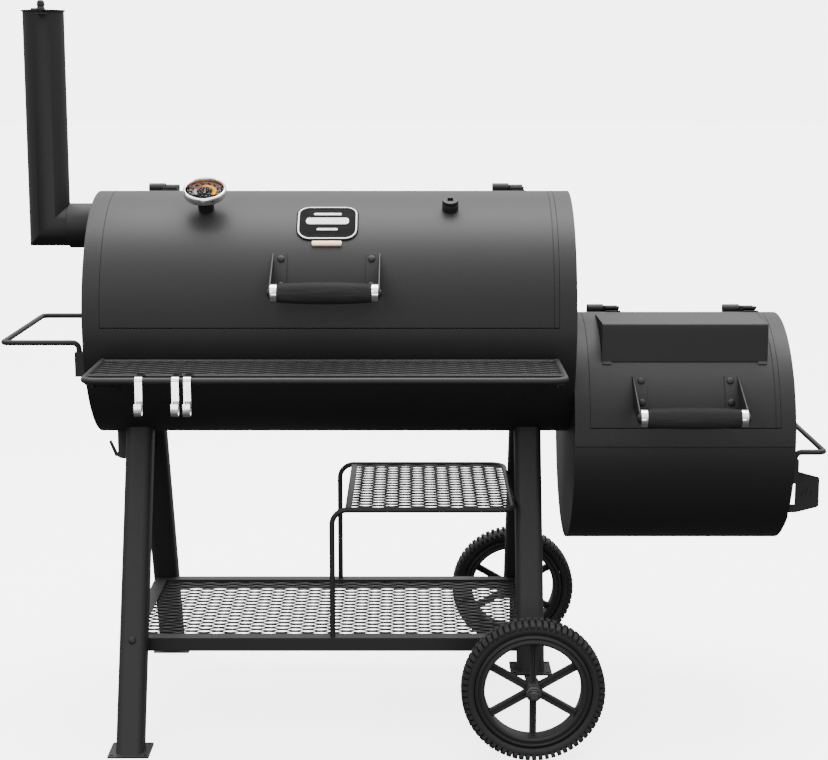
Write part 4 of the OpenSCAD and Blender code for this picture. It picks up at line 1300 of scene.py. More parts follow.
@dataclass
class Plaque(Assembly):
    """A plain plaque with a pale border, and the copper strip under it."""

    x: float = -6.0
    angle: float = 52.4
    width: float = 112.0
    height: float = 89.0
    corner: float = 24.0
    strip_angle: float = 39.3
    body: str = "chamber_lid"

    def ring(self, inset: float, lift: float) -> tuple[float, float, float, float]:
        """Returns the plaque's outline drawn in by an inset, at a lift."""
        return (self.width - 2 * inset, self.height - 2 * inset,
                max(self.corner - inset, 1.0), lift)

    def build(self) -> None:
        """Makes the plaque, its border, its three bars and the strip."""
        bend = BARREL.wrap(self.x, self.angle)
        rings = [self.ring(0, 0), self.ring(0, 1.9), self.ring(0.6, 2.5), self.ring(6, 2.5),
                 self.ring(7, 2.1), self.ring(16, 2.1), self.ring(26, 2.1), self.ring(36, 2.1)]
        self.piece("plaque", Blank().pad(rings, bend), "badge_plate", Finish.PLAQUE, self.body,
                   edge=0)
        border = [[bend(Vector((*p, lift))) for p in rounded(*self.ring(inset, 0)[:3])]
                  for inset, lift in ((2.4, 2.3), (2.4, 2.9), (2.8, 3.1), (4.5, 3.1), (4.9, 2.9),
                                      (4.9, 2.0))]
        self.piece("plaque_border", Blank().loft(border, loop=True, caps=False),
                   finish=Finish.BORDER, body=self.body, edge=0)
        bars = Blank()
        for y, w, h in ((20, 50, 6), (1, 78, 17), (-20, 38, 5)):
            levels = [(w, h, h / 2.4, 1.9), (w, h, h / 2.4, 2.6),
                      (w - 0.8, h - 0.8, h / 2.8, 2.9)]
            bars.pad(levels, bend, (0, y), 5)
        self.piece("plaque_bars", bars, finish=Finish.BORDER, body=self.body, edge=0)
        strip = [(54, 11, 2, 0), (54, 11, 2, 3.0), (53, 7.5, 1.6, 4.8), (46, 4, 1, 5)]
        self.piece("copper_strip",
                   Blank().pad(strip, BARREL.wrap(self.x, self.strip_angle), (0, 0), 4),
                   "badge_strip", Finish.COPPER, self.body, edge=0)


# ------ gauges


@dataclass
class Thermometer(Assembly):
    """The dial thermometer on the lid."""

    x: float = -228.8
    angle: float = 62.0
    face: float = 39.1
    body: str = "chamber_lid"
    seat: Matrix = field(init=False)

    def __post_init__(self) -> None:
        """Finds the gauge's seat on the lid."""
        self.seat = BARREL.seat(self.x, self.angle)

    def case(self) -> None:
        """Makes the bright case, and the dark stem and probe that carry it."""
        case = [(0, 27.5), (19, 27.5), (20, 29.5), (34, 29.5), (37.8, 31.5), (39.3, 33.9),
                (39.5, 36.5), (39.5, 42.1), (38.9, 44.4), (37.6, 45.7), (36.4, 46), (35.2, 45.4),
                (34.6, 44.2), (34.5, 37.5), (0, 37.5)]
        self.piece("thermometer_bezel", Blank().lathe(case, self.seat, 72), "thermometer_case",
                   Finish.CHROME, self.body, edge=0)
        stem = Blank().lathe([(0, -12), (8, -12), (8, 0.2), (13.6, 0.2), (14.5, 1.2), (14.5, 20.5),
                              (15.2, 22.5), (19.2, 27.7), (0, 27.7)], self.seat, 48)
        stem.lathe([(0, -45), (2.6, -45), (3.6, -43), (3.6, -11), (0, -11)], self.seat, 20)
        self.piece("thermometer_stem", stem, body=self.body, edge=0.4)

    def sector(self, r0: float, r1: float, start: float, stop: float, lift: float) -> Blank:
        """Returns a printed arc between two clock angles, in degrees from the top."""
        steps = max(4, round(abs(stop - start) / 6))
        outline = arc(r1, 90 - start, 90 - stop, steps) + arc(r0, 90 - stop, 90 - start, steps)
        return Blank().prism(outline, self.face - 0.1, self.face + lift, self.seat)

    def ticks(self, r0: float, r1: float, width: float, count: int, start: float,
              stop: float) -> Blank:
        """Returns printed marks between two clock angles."""
        unit = Blank().box((-width / 2, r0, self.face - 0.1), (width / 2, r1, self.face + 0.16))
        sweep = math.radians(start - stop) * count / (count - 1)
        laid = self.bench.around(unit, count, math.radians(-start), sweep)
        return Blank().take(laid, self.seat)

    def dial(self) -> None:
        """Makes the dial with its bands, marks and numbers."""
        disc = [(0, 37.3), (34.3, 37.3), (34.3, 39.4), (33.7, 39.5), (33.4, self.face),
                (0, self.face)]
        self.piece("dial", Blank().lathe(disc, self.seat, 72), "thermometer_dial", Finish.DIAL,
                   self.body, edge=0)
        bands = (("dial_band_brown", Finish.DIAL_BROWN, (29.6, 33.0, -66, 66)),
                 ("dial_band_orange", Finish.DIAL_ORANGE, (14.5, 21.5, -14, 128)),
                 ("dial_band_red", Finish.DIAL_RED, (14.5, 21.5, -66, -15)),
                 ("dial_band_pale", Finish.DIAL_WHITE, (15.5, 20.5, -126, -68)))
        for name, finish, (r0, r1, start, stop) in bands:
            self.piece(name, self.sector(r0, r1, start, stop, 0.14), finish=finish, body=self.body,
                       edge=0)
        marks = self.ticks(27.6, 29.2, 0.5, 51, -125, 125)
        for more in (self.ticks(26.4, 29.2, 0.9, 11, -125, 125),
                     self.ticks(9.0, 10.6, 1.0, 9, -120, 120)):
            marks.join(more)
        for i, turn in enumerate(spread(-112, 112, 8)):
            t = math.radians(turn)
            marks.take(self.number(str(50 + 50 * i), 3.5),
                       self.seat @ at(24.2 * math.sin(t), 24.2 * math.cos(t), self.face))
        self.piece("dial_marks", marks, finish=Finish.DIAL_WHITE, body=self.body, edge=0)

    @staticmethod
    def number(text: str, size: float) -> bpy.types.Mesh:
        """Returns a raised number, centred on its place."""
        curve = bpy.data.curves.new("number", "FONT")
        curve.body, curve.size, curve.extrude, curve.resolution_u = text, size, 0.12, 3
        curve.align_x, curve.align_y = "CENTER", "CENTER"
        curve.offset = 0.09
        holder = bpy.data.objects.new("number", curve)
        made = bpy.data.meshes.new_from_object(holder)
        bpy.data.objects.remove(holder)
        bpy.data.curves.remove(curve)
        return made

    def needle(self) -> None:
        """Makes the pointer with its counterweight and hub."""
        z = self.face + 0.8
        shape = Blank().prism([(-1.8, -8), (0, -9), (1.8, -8), (1.0, 0), (0.45, 25), (0, 26),
                               (-0.45, 25), (-1.0, 0)], z, z + 0.5, self.seat)
        shape.lathe([(0, z - 2), (1.4, z - 2), (1.4, z - 0.1), (2.4, z - 0.1), (2.4, z + 0.8),
                     (1.8, z + 1.3), (0, z + 1.4)], self.seat, 32)
        self.piece("pointer", shape, "thermometer_needle", Finish.NEEDLE, "needle", edge=0)

    def lens(self) -> None:
        """Makes the slightly domed lens."""
        profile = [(0, 42.5), (34.2, 42.5), (34.2, 43.4), (28, 43.9), (18, 44.3), (8, 44.5),
                   (0, 44.55)]
        self.piece("lens", Blank().lathe(profile, self.seat, 64), "thermometer_glass",
                   Finish.GLASS, self.body, edge=0)

    steps = (case, dial, needle, lens)


@dataclass
class ProbePort(Assembly):
    """A low threaded coupling on the lid, closed with a square-socket plug."""

    x: float = 216.8
    angle: float = 62.0

    def build(self) -> None:
        """Makes the coupling, its first threads and the plug."""
        seat = BARREL.seat(self.x, self.angle)
        shape = Blank().lathe([(5, -12), (8, -12), (8, 0.2), (14.2, 0.2), (15, 1), (15, 11.8),
                               (14.2, 13), (12.4, 13), (11.6, 12.2), (12.2, 11.4), (11.6, 10.6),
                               (11.6, 3), (5, 3)], seat, 56)
        shape.prism(circle(11.4, 40), 3.2, 13.4, seat)
        shape.plate([circle(14.6, 56), rounded(10.5, 10.5, 0.8, steps=3)], 13.3, 21.4, seat)
        self.piece("probe_coupling", shape, "probe_port", body="chamber_lid", edge=0.7)


# ------ smokestack


@dataclass
class Smokestack(Assembly):
    """The mitred stack, its collar, and the cap that swings on a bolt."""

    x: float = -536.6
    radius: float = 38.0
    wall: float = 2.5
    elbow: float = 930.0
    top: float = 1326.0
    cap_r: float = 40.5
    pivot: Flat = (-531.1, -47.0)

    def pipe(self) -> None:
        """Makes the riser and its stub as one mitred pipe, with the cap's lug."""
        rings = []
        for r, order in ((self.radius, (0, 1, 2)), (self.radius - self.wall, (2, 1, 0))):
            base = circle(r, 96)
            levels = {0: [(self.x + a, b, self.top) for a, b in base],
                      1: [(self.x + a, b, self.elbow + a) for a, b in base],
                      2: [(-BARREL.half, b, self.elbow + a) for a, b in base]}
            rings += [levels[k] for k in order]
        shape = Blank().loft(rings, loop=True, caps=False)
        px, py = self.pivot
        lug = [(px - 9, py + 9), (px - 9, py), *arc(9, 180, 360, 10, (px, py)), (px + 9, py + 12),
               (px - 9, py + 12)]
        shape.plate([lug, circle(4.1, 20, (px, py))], self.top - 6, self.top - 3)
        self.piece("stack_pipe", shape, "smokestack", edge=0.6, crease=38)

    def collar(self) -> None:
        """Makes the collar and the weld that joins it to the barrel's end."""
        r, length = self.radius, 57
        shape = Blank().lathe([(r + 0.1, 0), (r + 3.4, 0), (r + 4, 0.6), (r + 4, length),
                               (r + 0.1, length)],
                              along_x(-BARREL.half - length, 0, self.elbow), 96)
        ripple = Blank().lathe([(0, -1.6), (1.7, -1.0), (2.3, 0.4), (1.5, 1.7), (0, 2.2)],
                               at(r + 4, 0, 0) @ Matrix.Diagonal((1, 1.35, 1, 1)), 8)
        shape.take(self.bench.around(ripple, 64),
                   along_x(-BARREL.half - 1.2, 0, self.elbow))
        self.piece("stack_collar_ring", shape, "stack_collar", edge=0)

    def cap(self) -> None:
        """Makes the cap with its ear and finger tab."""
        dx, py = self.pivot[0] - self.x, self.pivot[1]
        low, high = dx - 10, dx + 10
        y_low, y_high = (-math.sqrt(self.cap_r ** 2 - v * v) for v in (low, high))
        start = math.degrees(math.atan2(y_high, high))
        stop = math.degrees(math.atan2(y_low, low)) + 360
        outline = (arc(self.cap_r, start, stop, 80) + [(low, py)]
                   + arc(10, 180, 360, 14, (dx, py)))
        shape = Blank().plate([outline, circle(4.2, 20, (dx, py))], self.top + 0.4,
                              self.top + 2.9, at(self.x, 0, 0))
        shape.strip([(-14, self.top + 2), (-14, self.top + 3.6), (-13, self.top + 5.2),
                     (-11.5, self.top + 5.8)], 1.6, self.x - 20, self.x - 5.5)
        self.piece("cap_disc", shape, "stack_cap", body="stack_cap")

    def bolt(self) -> None:
        """Makes the pivot bolt, its spring washer and its acorn nut."""
        place = at(*self.pivot, self.top)
        shape = hex_nut(5.2, -9, -6.1, place)
        shape.lathe([(0, -7), (3.95, -7), (3.95, 9), (0, 9)], place, 24)
        shape.lathe([(3.9, 3.2), (8, 3.2), (8, 4.2), (7.2, 5.0), (7.2, 5.8), (6.4, 6.8),
                     (6.4, 8.9), (3.9, 8.9)], place, 36)
        shape.join(hex_nut(7.6, 8.8, 14.0, place))
        shape.lathe([(0, 13.8), (6.9, 13.8), (6.8, 15.4), (6.0, 17.6), (4.2, 19.2), (2.0, 19.85),
                     (0, 20)], place, 28)
        self.piece("cap_bolt", shape, "stack_cap_bolt")

    steps = (pipe, collar, cap, bolt)


@dataclass
class SideHandles(Assembly):
    """The bent-rod handles at the two ends, in socket brackets."""

    reach: float = 182.0

    def build(self) -> None:
        """Makes both handles and their four sockets."""
        rods, sockets, y = Blank(), Blank(), self.reach
        for side, end, bar, z, drop, stand, depth in (
                (-1, BARREL.left, -593.8, 733.3, 61, 14.0, 21.0),
                (1, FIREBOX.right, 902.2, 531.0, 57, 6.2, 12.0)):
            foot = end + side * stand
            rods.tube(bend_route([(foot, -y, z - drop + 9.2), (foot, -y, z), (bar, -y, z),
                                  (bar, y, z), (foot, y, z), (foot, y, z - drop + 9.2)], 12),
                      5.0, 24)
            for s in (-y, y):
                outline = rounded(depth, 20, 0.5, (end + side * depth / 2, s), 2)
                sockets.plate([outline, circle(5.1, 24, (foot, s))], z - drop + 9, z - drop + 44)
                sockets.plate([outline], z - drop, z - drop + 9.2)
        self.piece("handle_rods", rods, "side_handles", edge=0)
        self.piece("handle_sockets", sockets, "handle_brackets", edge=0.3)


# ------ shelves


@dataclass
class ExpandedMetal(Assembly):
    """Slit and stretched sheet: strands that lean between staggered lens openings."""

    long: float = 48.6
    short: float = 21.2
    wide_share: float = 0.90
    open_share: float = 0.67
    fullness: float = 1.35
    lean: float = 0.25
    half_thick: float = 0.85

    def unit(self) -> Blank:
        """Returns the metal round one opening."""
        corners = [(self.long / 2, 0), (0, self.short / 2), (-self.long / 2, 0),
                   (0, -self.short / 2)]
        outer = [(a[0] + (b[0] - a[0]) * k / 4, a[1] + (b[1] - a[1]) * k / 4)
                 for a, b in zip(corners, corners[1:] + corners[:1]) for k in range(4)]
        w, h = self.long / 2 * self.wide_share, self.short / 2 * self.open_share
        inner = []
        for x, y in outer:
            u = x / (self.long / 2)
            v = h * (1 - abs(u) ** self.fullness) * (1 if y >= 0 else -1)
            inner.append((u * w, v, -self.lean * v / h))
        t = self.half_thick
        rings = [[(*p, t) for p in outer], [(x, y, z + t) for x, y, z in inner],
                 [(x, y, z - t) for x, y, z in inner], [(*p, -t) for p in outer]]
        return Blank().loft(rings, loop=True, caps=False)

    def sheet(self, name: str, node: str, low: Flat, high: Flat, z: float,
              corners: Sequence[tuple[Flat, Flat]] = ()) -> None:
        """Lays a sheet of it and trims it.

        Args:
            name: The piece's name.
            node: The frame node that it replaces.
            low: The sheet's lower corner in X and Y.
            high: Its upper corner.
            z: Height of its middle.
            corners: More cuts, each a point and an outward direction.
        """
        cx, cy = (low[0] + high[0]) / 2, (low[1] + high[1]) / 2
        nx = math.ceil((high[0] - low[0]) / self.long) + 1
        ny = math.ceil((high[1] - low[1]) / self.short) + 1
        laid = self.bench.lattice.lay(self.unit(), {
            "Columns": 2 * nx + 1, "Rows": 2 * ny + 1, "Half long": self.long / 2,
            "Half short": self.short / 2})
        bm = Blank().take(laid, at(cx, cy, z)).form()
        twins: dict[frozenset[int], list[bmesh.types.BMFace]] = {}
        for face in bm.faces:
            twins.setdefault(frozenset(v.index for v in face.verts), []).append(face)
        inside = [f for pair in twins.values() if len(pair) > 1 for f in pair]
        bmesh.ops.delete(bm, geom=inside, context="FACES")
        cuts = [((low[0], 0), (-1, 0)), ((high[0], 0), (1, 0)), ((0, low[1]), (0, -1)),
                ((0, high[1]), (0, 1)), *corners]
        for point, out in cuts:
            bmesh.ops.bisect_plane(bm, geom=[*bm.verts, *bm.edges, *bm.faces], dist=0.0005,
                                   plane_co=(*point, 0), plane_no=(*out, 0), clear_outer=True)
            rim = [e for e in bm.edges if len(e.link_faces) == 1]
            bmesh.ops.holes_fill(bm, edges=rim, sides=0)
        bmesh.ops.recalc_face_normals(bm, faces=bm.faces)
        self.piece(name, bm, node, edge=0, crease=50)


@dataclass
class FrontShelf(Assembly):
    """The rod-framed shelf in front of the barrel, its brackets and its tool hooks."""

    metal: ExpandedMetal
    z: float = 706.0
    half: float = 405.5
    front: float = -431.4
    inner: float = -397.0
    back: float = -232.8
    arm_end: float = -226.8
    rod: float = 6.0
    hooks: tuple[float, float, float] = (-310.5, -249.1, -229.1)
    hook_bottom: float = 657.0

    def frame(self) -> None:
        """Makes the bent frame rod, the rear rod and the thin inner rod."""
        route = [(-self.half, self.arm_end, self.z), (-self.half, self.front, self.z),
                 (self.half, self.front, self.z), (self.half, self.arm_end, self.z)]
        shape = Blank().tube(bend_route(route, 22, 12), self.rod, 28)
        shape.rod((-self.half + 2, self.back, self.z), (self.half - 2, self.back, self.z), 5.0)
        shape.rod((-self.half + 1, self.inner, self.z + 2.5),
                  (self.half - 1, self.inner, self.z + 2.5), 3.0, 16)
        self.piece("front_shelf_rods", shape, "front_shelf_frame", edge=0)

    def brackets(self) -> None:
        """Makes the arm under each end and its foot on the barrel."""
        shape = Blank()
        for s in (-1, 1):
            x = s * (self.half - 12.7)
            shape.band(BARREL, spread(-31, -19, 8), x - 10.5, x + 10.5, 3)
            top = self.z - self.rod - 3
            face = [BARREL.point(0, BARREL.radius + 2.9, a) for a in spread(-29, -19.6, 6)]
            outline = [(self.front + 20, top), (self.front + 20, top - 6),
                       *[(p.y, p.z) for p in face]]
            outline.append((outline[-1][0], top))
            shape.plate([outline], x - 1.5, x + 1.5, SIDEWAYS)
            shape.box((x - 10.5, self.front + 14, top - 0.1),
                      (x + 10.5, -BARREL.radius - 12, top + 2.9))
        self.piece("front_shelf_arms", shape, "front_shelf_brackets")

    def hook_line(self) -> Outline:
        """Returns the middle line of a hook, in Y and Z."""
        half, gap = 0.75, 0.35
        over = self.rod + gap + half
        curl = 7 + half
        face = self.front - over
        line = [(y, z) for y, z in arc(3 + gap + half, 0, 90, 5, (self.inner, self.z + 3))]
        line += arc(over, 90, 180, 8, (self.front, self.z))
        line += [(face, z) for z in spread(self.z - 8, self.hook_bottom + 8, 4)]
        line += arc(curl, 0, -180, 14, (face - curl, self.hook_bottom))
        return line + [(face - 2 * curl, self.hook_bottom + rise) for rise in (7, 14)]

    def hang(self) -> None:
        """Makes the three hooks, each on its own body."""
        for i, x in enumerate(self.hooks, 1):
            shape = Blank().strip(self.hook_line(), 1.5, x - 6.25, x + 6.25)
            self.piece(f"hook_strip_{i}", shape, f"tool_hook_{i}", Finish.CHROME, f"hook_{i}",
                       edge=0.3, crease=40)

    def build(self) -> None:
        """Makes the whole shelf."""
        self.frame()
        self.metal.sheet("front_shelf_net", "front_shelf_mesh", (-self.half + 6, -393.8),
                         (self.half - 6, -238.0), self.z + 1.65)
        self.brackets()
        self.hang()


@dataclass
class Cart(Assembly):
    """Legs, feet, bolts, the bottom shelf and the wood shelf."""

    metal: ExpandedMetal
    leg_x: float = 364.0
    leg_w: float = 49.6
    corner: float = 13.0
    foot_y: float = 294.5
    stub_z: float = 136.8
    shelf_z: float = 184.5
    shelf_x: float = 383.5
    shelf_y: float = 204.6
    wood_z: float = 425.0
    wood_y: float = 193.0
    wood_x: float = 333.7

    def __post_init__(self) -> None:
        """Works out how far the legs lean."""
        self.tilt = math.atan((self.foot_y - 53) / 610)

    def leg_y(self, z: float) -> float:
        """Returns how far a leg's axis is from the middle at a height."""
        return self.foot_y - z * math.tan(self.tilt)

    def leg(self, x: float, side: int, floor: float) -> Blank:
        """Returns one tube leg, cut to its plate and to the barrel's round."""
        lean = side * self.tilt
        run = Vector((0, -math.sin(lean), math.cos(lean)))
        low, high = [], []
        for u, v in rounded(self.leg_w, self.leg_w, self.corner, steps=8):
            start = Vector((x + u, side * self.foot_y + v * math.cos(lean), v * math.sin(lean)))
            low.append(start + run * (floor - start.z) / run.z)
            away = start - Vector((start.x, 0, BARREL.z))
            b, c = away.dot(run), away.length_squared - BARREL.radius ** 2
            high.append(start + run * (-b - math.sqrt(max(b * b - c, 0.0))))
        levels = [[a.lerp(b, t) for a, b in zip(low, high)] for t in (0, 0.25, 0.5, 0.75, 1)]
        return Blank().loft(levels)

    def legs(self) -> None:
        """Makes the four legs."""
        shape = Blank()
        for side in (-1, 1):
            for x, floor in ((-self.leg_x, 3.0), (self.leg_x, self.stub_z + 3.0)):
                shape.join(self.leg(x, side, floor))
        self.piece("leg_tubes", shape, "legs", edge=0)

    def feet(self) -> None:
        """Makes the foot plates and the leg bolts."""
        plates = Blank()
        holes = [(hx * 30, hy * 28) for hx in (-1, 1) for hy in (-1, 1)]
        for side in (-1, 1):
            for x, y, z in ((-self.leg_x, self.foot_y, 0.0),
                            (self.leg_x, self.leg_y(self.stub_z), self.stub_z)):
                outlines = [rounded(75, 72, 3, steps=4), *[circle(2.75, 20, h) for h in holes]]
                plates.plate(outlines, 0, 3, at(x, side * y, z))
        self.piece("foot_plate_set", plates, "foot_plates", edge=0.5)
        seats = [at(x, side * self.leg_y(z), z)
                 @ Matrix.Rotation(side * (self.tilt - out * math.pi / 2), 4, "X")
                 @ at(0, 0, self.leg_w / 2)
                 for x in (-self.leg_x, self.leg_x) for side in (-1, 1)
                 for z, out in ((184.0, 1), (505.0, -1))]
        heads = self.bench.stud_set(dome_screw(7, 4), seats)
        self.piece("leg_bolt_heads", Blank().take(heads), "frame_bolts", edge=0)

    def low_shelf(self) -> None:
        """Makes the angle-iron frame of the bottom shelf and its sheet."""
        x, y, z, leg, t = self.shelf_x, self.shelf_y, self.shelf_z, 25.0, 3.0
        frame = Blank()
        rim = rounded(2 * x, 2 * y, 2, steps=3)
        for inset, low, high in ((leg, z - t, z), (t, z - leg, z - t + 0.1)):
            opening = rect(-x + inset, -y + inset, x - inset, y - inset)
            frame.plate([rim, opening], low, high)
        self.piece("bottom_shelf_angles", frame, "low_shelf_frame", edge=0.7)
        reach = self.leg_y(z) - self.leg_w / 2 - 4
        self.metal.sheet("bottom_shelf_net", "low_shelf_mesh", (-x + t + 0.2, -reach),
                         (x - t - 0.2, reach), z - t - 1.7)

    def wood_shelf(self) -> None:
        """Makes the bent rod of the wood shelf, its cross bar and its sheet."""
        y, z, x1 = self.wood_y, self.wood_z, self.wood_x
        route = [(0, -y, self.shelf_z), (0, -y, z), (x1, -y, z), (x1, y, z), (0, y, z),
                 (0, y, self.shelf_z)]
        shape = Blank().tube(bend_route(route, 28, 12), 5.0, 24)
        shape.box((24, -y, z - 1.5), (36, y, z + 1.5))
        self.piece("wood_shelf_rods", shape, "wood_shelf_frame", edge=0.4)
        right, side = x1 - 5.2, y - 5.2
        cut = 0.5 ** 0.5
        corners = [((right - 12.5, s * side), (cut, s * cut)) for s in (-1, 1)]
        self.metal.sheet("wood_shelf_net", "wood_shelf_mesh", (36.0, -side), (right, side),
                         z + 0.2, corners)

    steps = (legs, feet, low_shelf, wood_shelf)


@dataclass
class Wheels(Assembly):
    """The two spoked wheels with lugged tyres, and the axle that carries them."""

    x: float = 363.0
    y: float = 324.0
    radius: float = 128.8
    hub: float = 15.5
    hub_half: float = 26.0
    axle_r: float = 8.0
    axle_half: float = 364.0
    plate_y: float = 240.34
    spokes: int = 6
    lugs: int = 68

    def rim(self, place: Matrix) -> Blank:
        """Returns the rim, the six channel spokes and the hub."""
        half = [(86.5, 13), (87.4, 17.2), (89.6, 18.8), (93.2, 19), (94.8, 18.2), (95.6, 16.4),
                (97.4, 16.4), (98.2, 18.2), (99.6, 19), (102.2, 18.2), (104.6, 16.2), (105.5, 13)]
        shape = Blank().lathe(mirrored(half), place, 96)
        section = [(-6.5, 7), (-2.6, 7), (-1.9, 3.6), (1.9, 3.6), (2.6, 7), (6.5, 7), (5.6, -7),
                   (2.6, -7), (1.9, -3.6), (-1.9, -3.6), (-2.6, -7), (-5.6, -7)]
        spoke = Blank().loft([[(a, r, b * k) for a, b in section]
                              for r, k in ((12.0, 1.25), (24.0, 1.0), (80.0, 1.0), (88.5, 1.3))])
        shape.take(self.bench.around(spoke, self.spokes), place)
        bore, h = self.axle_r + 0.05, self.hub_half
        ends = [(bore, -h), (12.4, -h), (13.4, -h + 1.4), (13.4, -h + 7), (self.hub, -h + 9),
                (self.hub, h - 9), (13.4, h - 7), (13.4, h - 1.4), (12.4, h), (bore, h)]
        return shape.lathe(ends, place, 48)

    def tyre(self, place: Matrix) -> Blank:
        """Returns the tyre's carcass and its two rows of lugs."""
        half = [(105.6, 14), (106.2, 17.4), (109.5, 19.6), (113.5, 20.8), (116.6, 20.2),
                (119.2, 17.6), (121.0, 12), (121.6, 4)]
        shape = Blank().lathe(mirrored(half), place, 136)
        lug = [(116.4, 19.6), (118.2, 21.4), (122.5, 21.9), (126, 20.2), (128.2, 16.8),
               (128.7, 12), (128.7, 2.0), (120.8, 1.6), (120.4, 10), (118.6, 15.5), (116.4, 18.2)]
        for side in (-1, 1):
            block = Blank().loft([[(w * k, r, side * h) for r, h in lug]
                                  for w, k in ((-3.6, 1), (3.6, 1))])
            phase = side * math.pi / self.lugs / 2
            shape.take(self.bench.around(block, self.lugs, phase), place)
        return shape

    def hardware(self) -> None:
        """Makes the axle, its washers and nuts, and the straps on the foot plates."""
        end = self.axle_half
        axle = Blank().lathe([(0, -end), (6.6, -end), (8, -end + 1.6), (8, end - 1.6), (6.6, end),
                              (0, end)], along_y(self.x, 0, self.radius), 36)
        self.piece("axle_bar", axle, "axle", Finish.STEEL, edge=0)
        shape, h = Blank(), self.hub_half
        for side in (-1, 1):
            for y in (self.y - h - 3, self.y + h + 0.5):
                shape.lathe([(8, 0), (13.2, 0), (14, 0.5), (14, 2.0), (13.2, 2.5), (8, 2.5)],
                            along_y(self.x, side * (y + 1.25) + 1.25, self.radius), 40)
            shape.join(hex_nut(11.5, -3, 3,
                               along_y(self.x, side * (self.y + h + 6.5), self.radius)))
            strap = ([(-25, 8), (-25, 5), (-11, 5), *arc(11, 180, 360, 16), (11, 5), (25, 5),
                      (25, 8), (8.1, 8), *arc(8.1, 360, 180, 14), (-8.1, 8)])
            shape.plate([strap], -15, 15, along_y(self.x, side * self.plate_y, self.radius))
        self.piece("axle_hardware", shape, "axle_fittings", Finish.STEEL)

    def build(self) -> None:
        """Makes both wheels and the axle."""
        for name, side in (("front", -1), ("rear", 1)):
            place = along_y(self.x, side * self.y, self.radius)
            self.piece(f"rim_{name}", self.rim(place), f"wheel_{name}", body=f"wheel_{name}",
                       edge=0.4, crease=30)
            self.piece(f"tread_{name}", self.tyre(place), f"tyre_{name}", Finish.RUBBER,
                       f"wheel_{name}", edge=0, crease=32)
        self.hardware()


# ------ firebox


@dataclass
class Firebox(Assembly):
    """The firebox's two halves with their end plates, its grate and its heat shield."""

    lid_half: float = 171.0
    lid_gap: float = 1.5
    lid_front: float = 8.9
    lid_back: float = 106.6
    split: float = 0.25
    shield: tuple[float, float] = (493.5, 795.5)

    def half_disc(self, upper: bool) -> Outline:
        """Returns half an end plate, a hair away from the split."""
        r, z = FIREBOX.radius - FIREBOX.sheet, FIREBOX.z
        a = math.degrees(math.asin(self.split / r))
        return arc(r, a, 180 - a, 72, (0, z)) if upper else arc(r, 180 + a, 360 - a, 72, (0, z))

    def lower(self) -> None:
        """Makes the lower half with the ash opening in its right end."""
        x0, x1, t = FIREBOX.left, FIREBOX.right, FIREBOX.sheet
        rim = math.degrees(self.split / FIREBOX.radius)
        shape = Blank().shell(FIREBOX, spread(180 + rim, 360 - rim, 96), [x0, x1])
        half = self.half_disc(False)
        shape.plate([half], x0, x0 + t, SIDEWAYS)
        shape.plate([half, rounded(252, 98, 4, (0, 439), 4)], x1 - t, x1, SIDEWAYS)
        self.piece("firebox_pan", shape, "firebox_lower", edge=0.9)

    def upper(self) -> None:
        """Makes the upper half with the lid's mouth and the way through to the barrel."""
        x0, x1, t = FIREBOX.left, FIREBOX.right, FIREBOX.sheet
        rim = math.degrees(self.split / FIREBOX.radius)
        below, cells = 5, 52
        angles = [*spread(rim, self.lid_front, below)[:-1],
                  *spread(self.lid_front, self.lid_back, cells)[:-1],
                  *spread(self.lid_back, 180 - rim, 39)]
        mouth = self.lid_half + self.lid_gap
        xs = [x0, FIREBOX.middle - mouth, FIREBOX.middle + mouth, x1]
        shape = Blank().shell(FIREBOX, angles, xs,
                              skip=lambda i, j: below <= i < below + cells and j == 1)
        half = self.half_disc(True)
        shape.plate([half, heat_opening()], x0, x0 + t, SIDEWAYS)
        shape.plate([half], x1 - t, x1, SIDEWAYS)
        shape.band(FIREBOX, spread(0.3, 1.1, 3), x0, x1, 1.5, -0.2)
        self.piece("firebox_hood", shape, "firebox_upper", edge=0.9)

    def grate(self) -> None:
        """Makes the charcoal grate."""
        shape = Blank().take(grate(self.bench, 2 * FIREBOX.half - 30, 352, 8.0),
                             at(FIREBOX.middle, 0, 452))
        self.piece("charcoal_bars", shape, "charcoal_grate", Finish.IRON, edge=0.8)

    def heat_shield(self) -> None:
        """Makes the folded shield that stands off the lid."""
        (x0, x1), front, back, top, low = self.shield, -160.0, -30.0, 765.0, 686.2
        shape, r = Blank(), 4.0
        fold = [(back, top - 1), (front + r, top - 1),
                *arc(r - 1, 90, 180, 5, (front + r, top - r)),
                (front + 1, top - r - 10), (front + 1, low + 9)]
        shape.strip(fold, 2.0, x0, x1)
        start = FIREBOX.radius + 0.2
        rim = [FIREBOX.point(0, start, a) for a in spread(42.3, 82, 15)]
        side = [*[(p.y, p.z) for p in rim], (back, top), (front + 3, top), (front, top - 3)]
        for x in (x0, x1 - 2):
            shape.plate([side], x, x + 2, SIDEWAYS)
        for x in (x0 + 1, x1 - 17):
            shape.band(FIREBOX, spread(41.2, 46, 4), x, x + 16, 2, 0.1)
        self.piece("heat_shield_fold", shape, "heat_shield", body="firebox_lid", edge=0.4)

    steps = (lower, upper, grate, heat_shield)


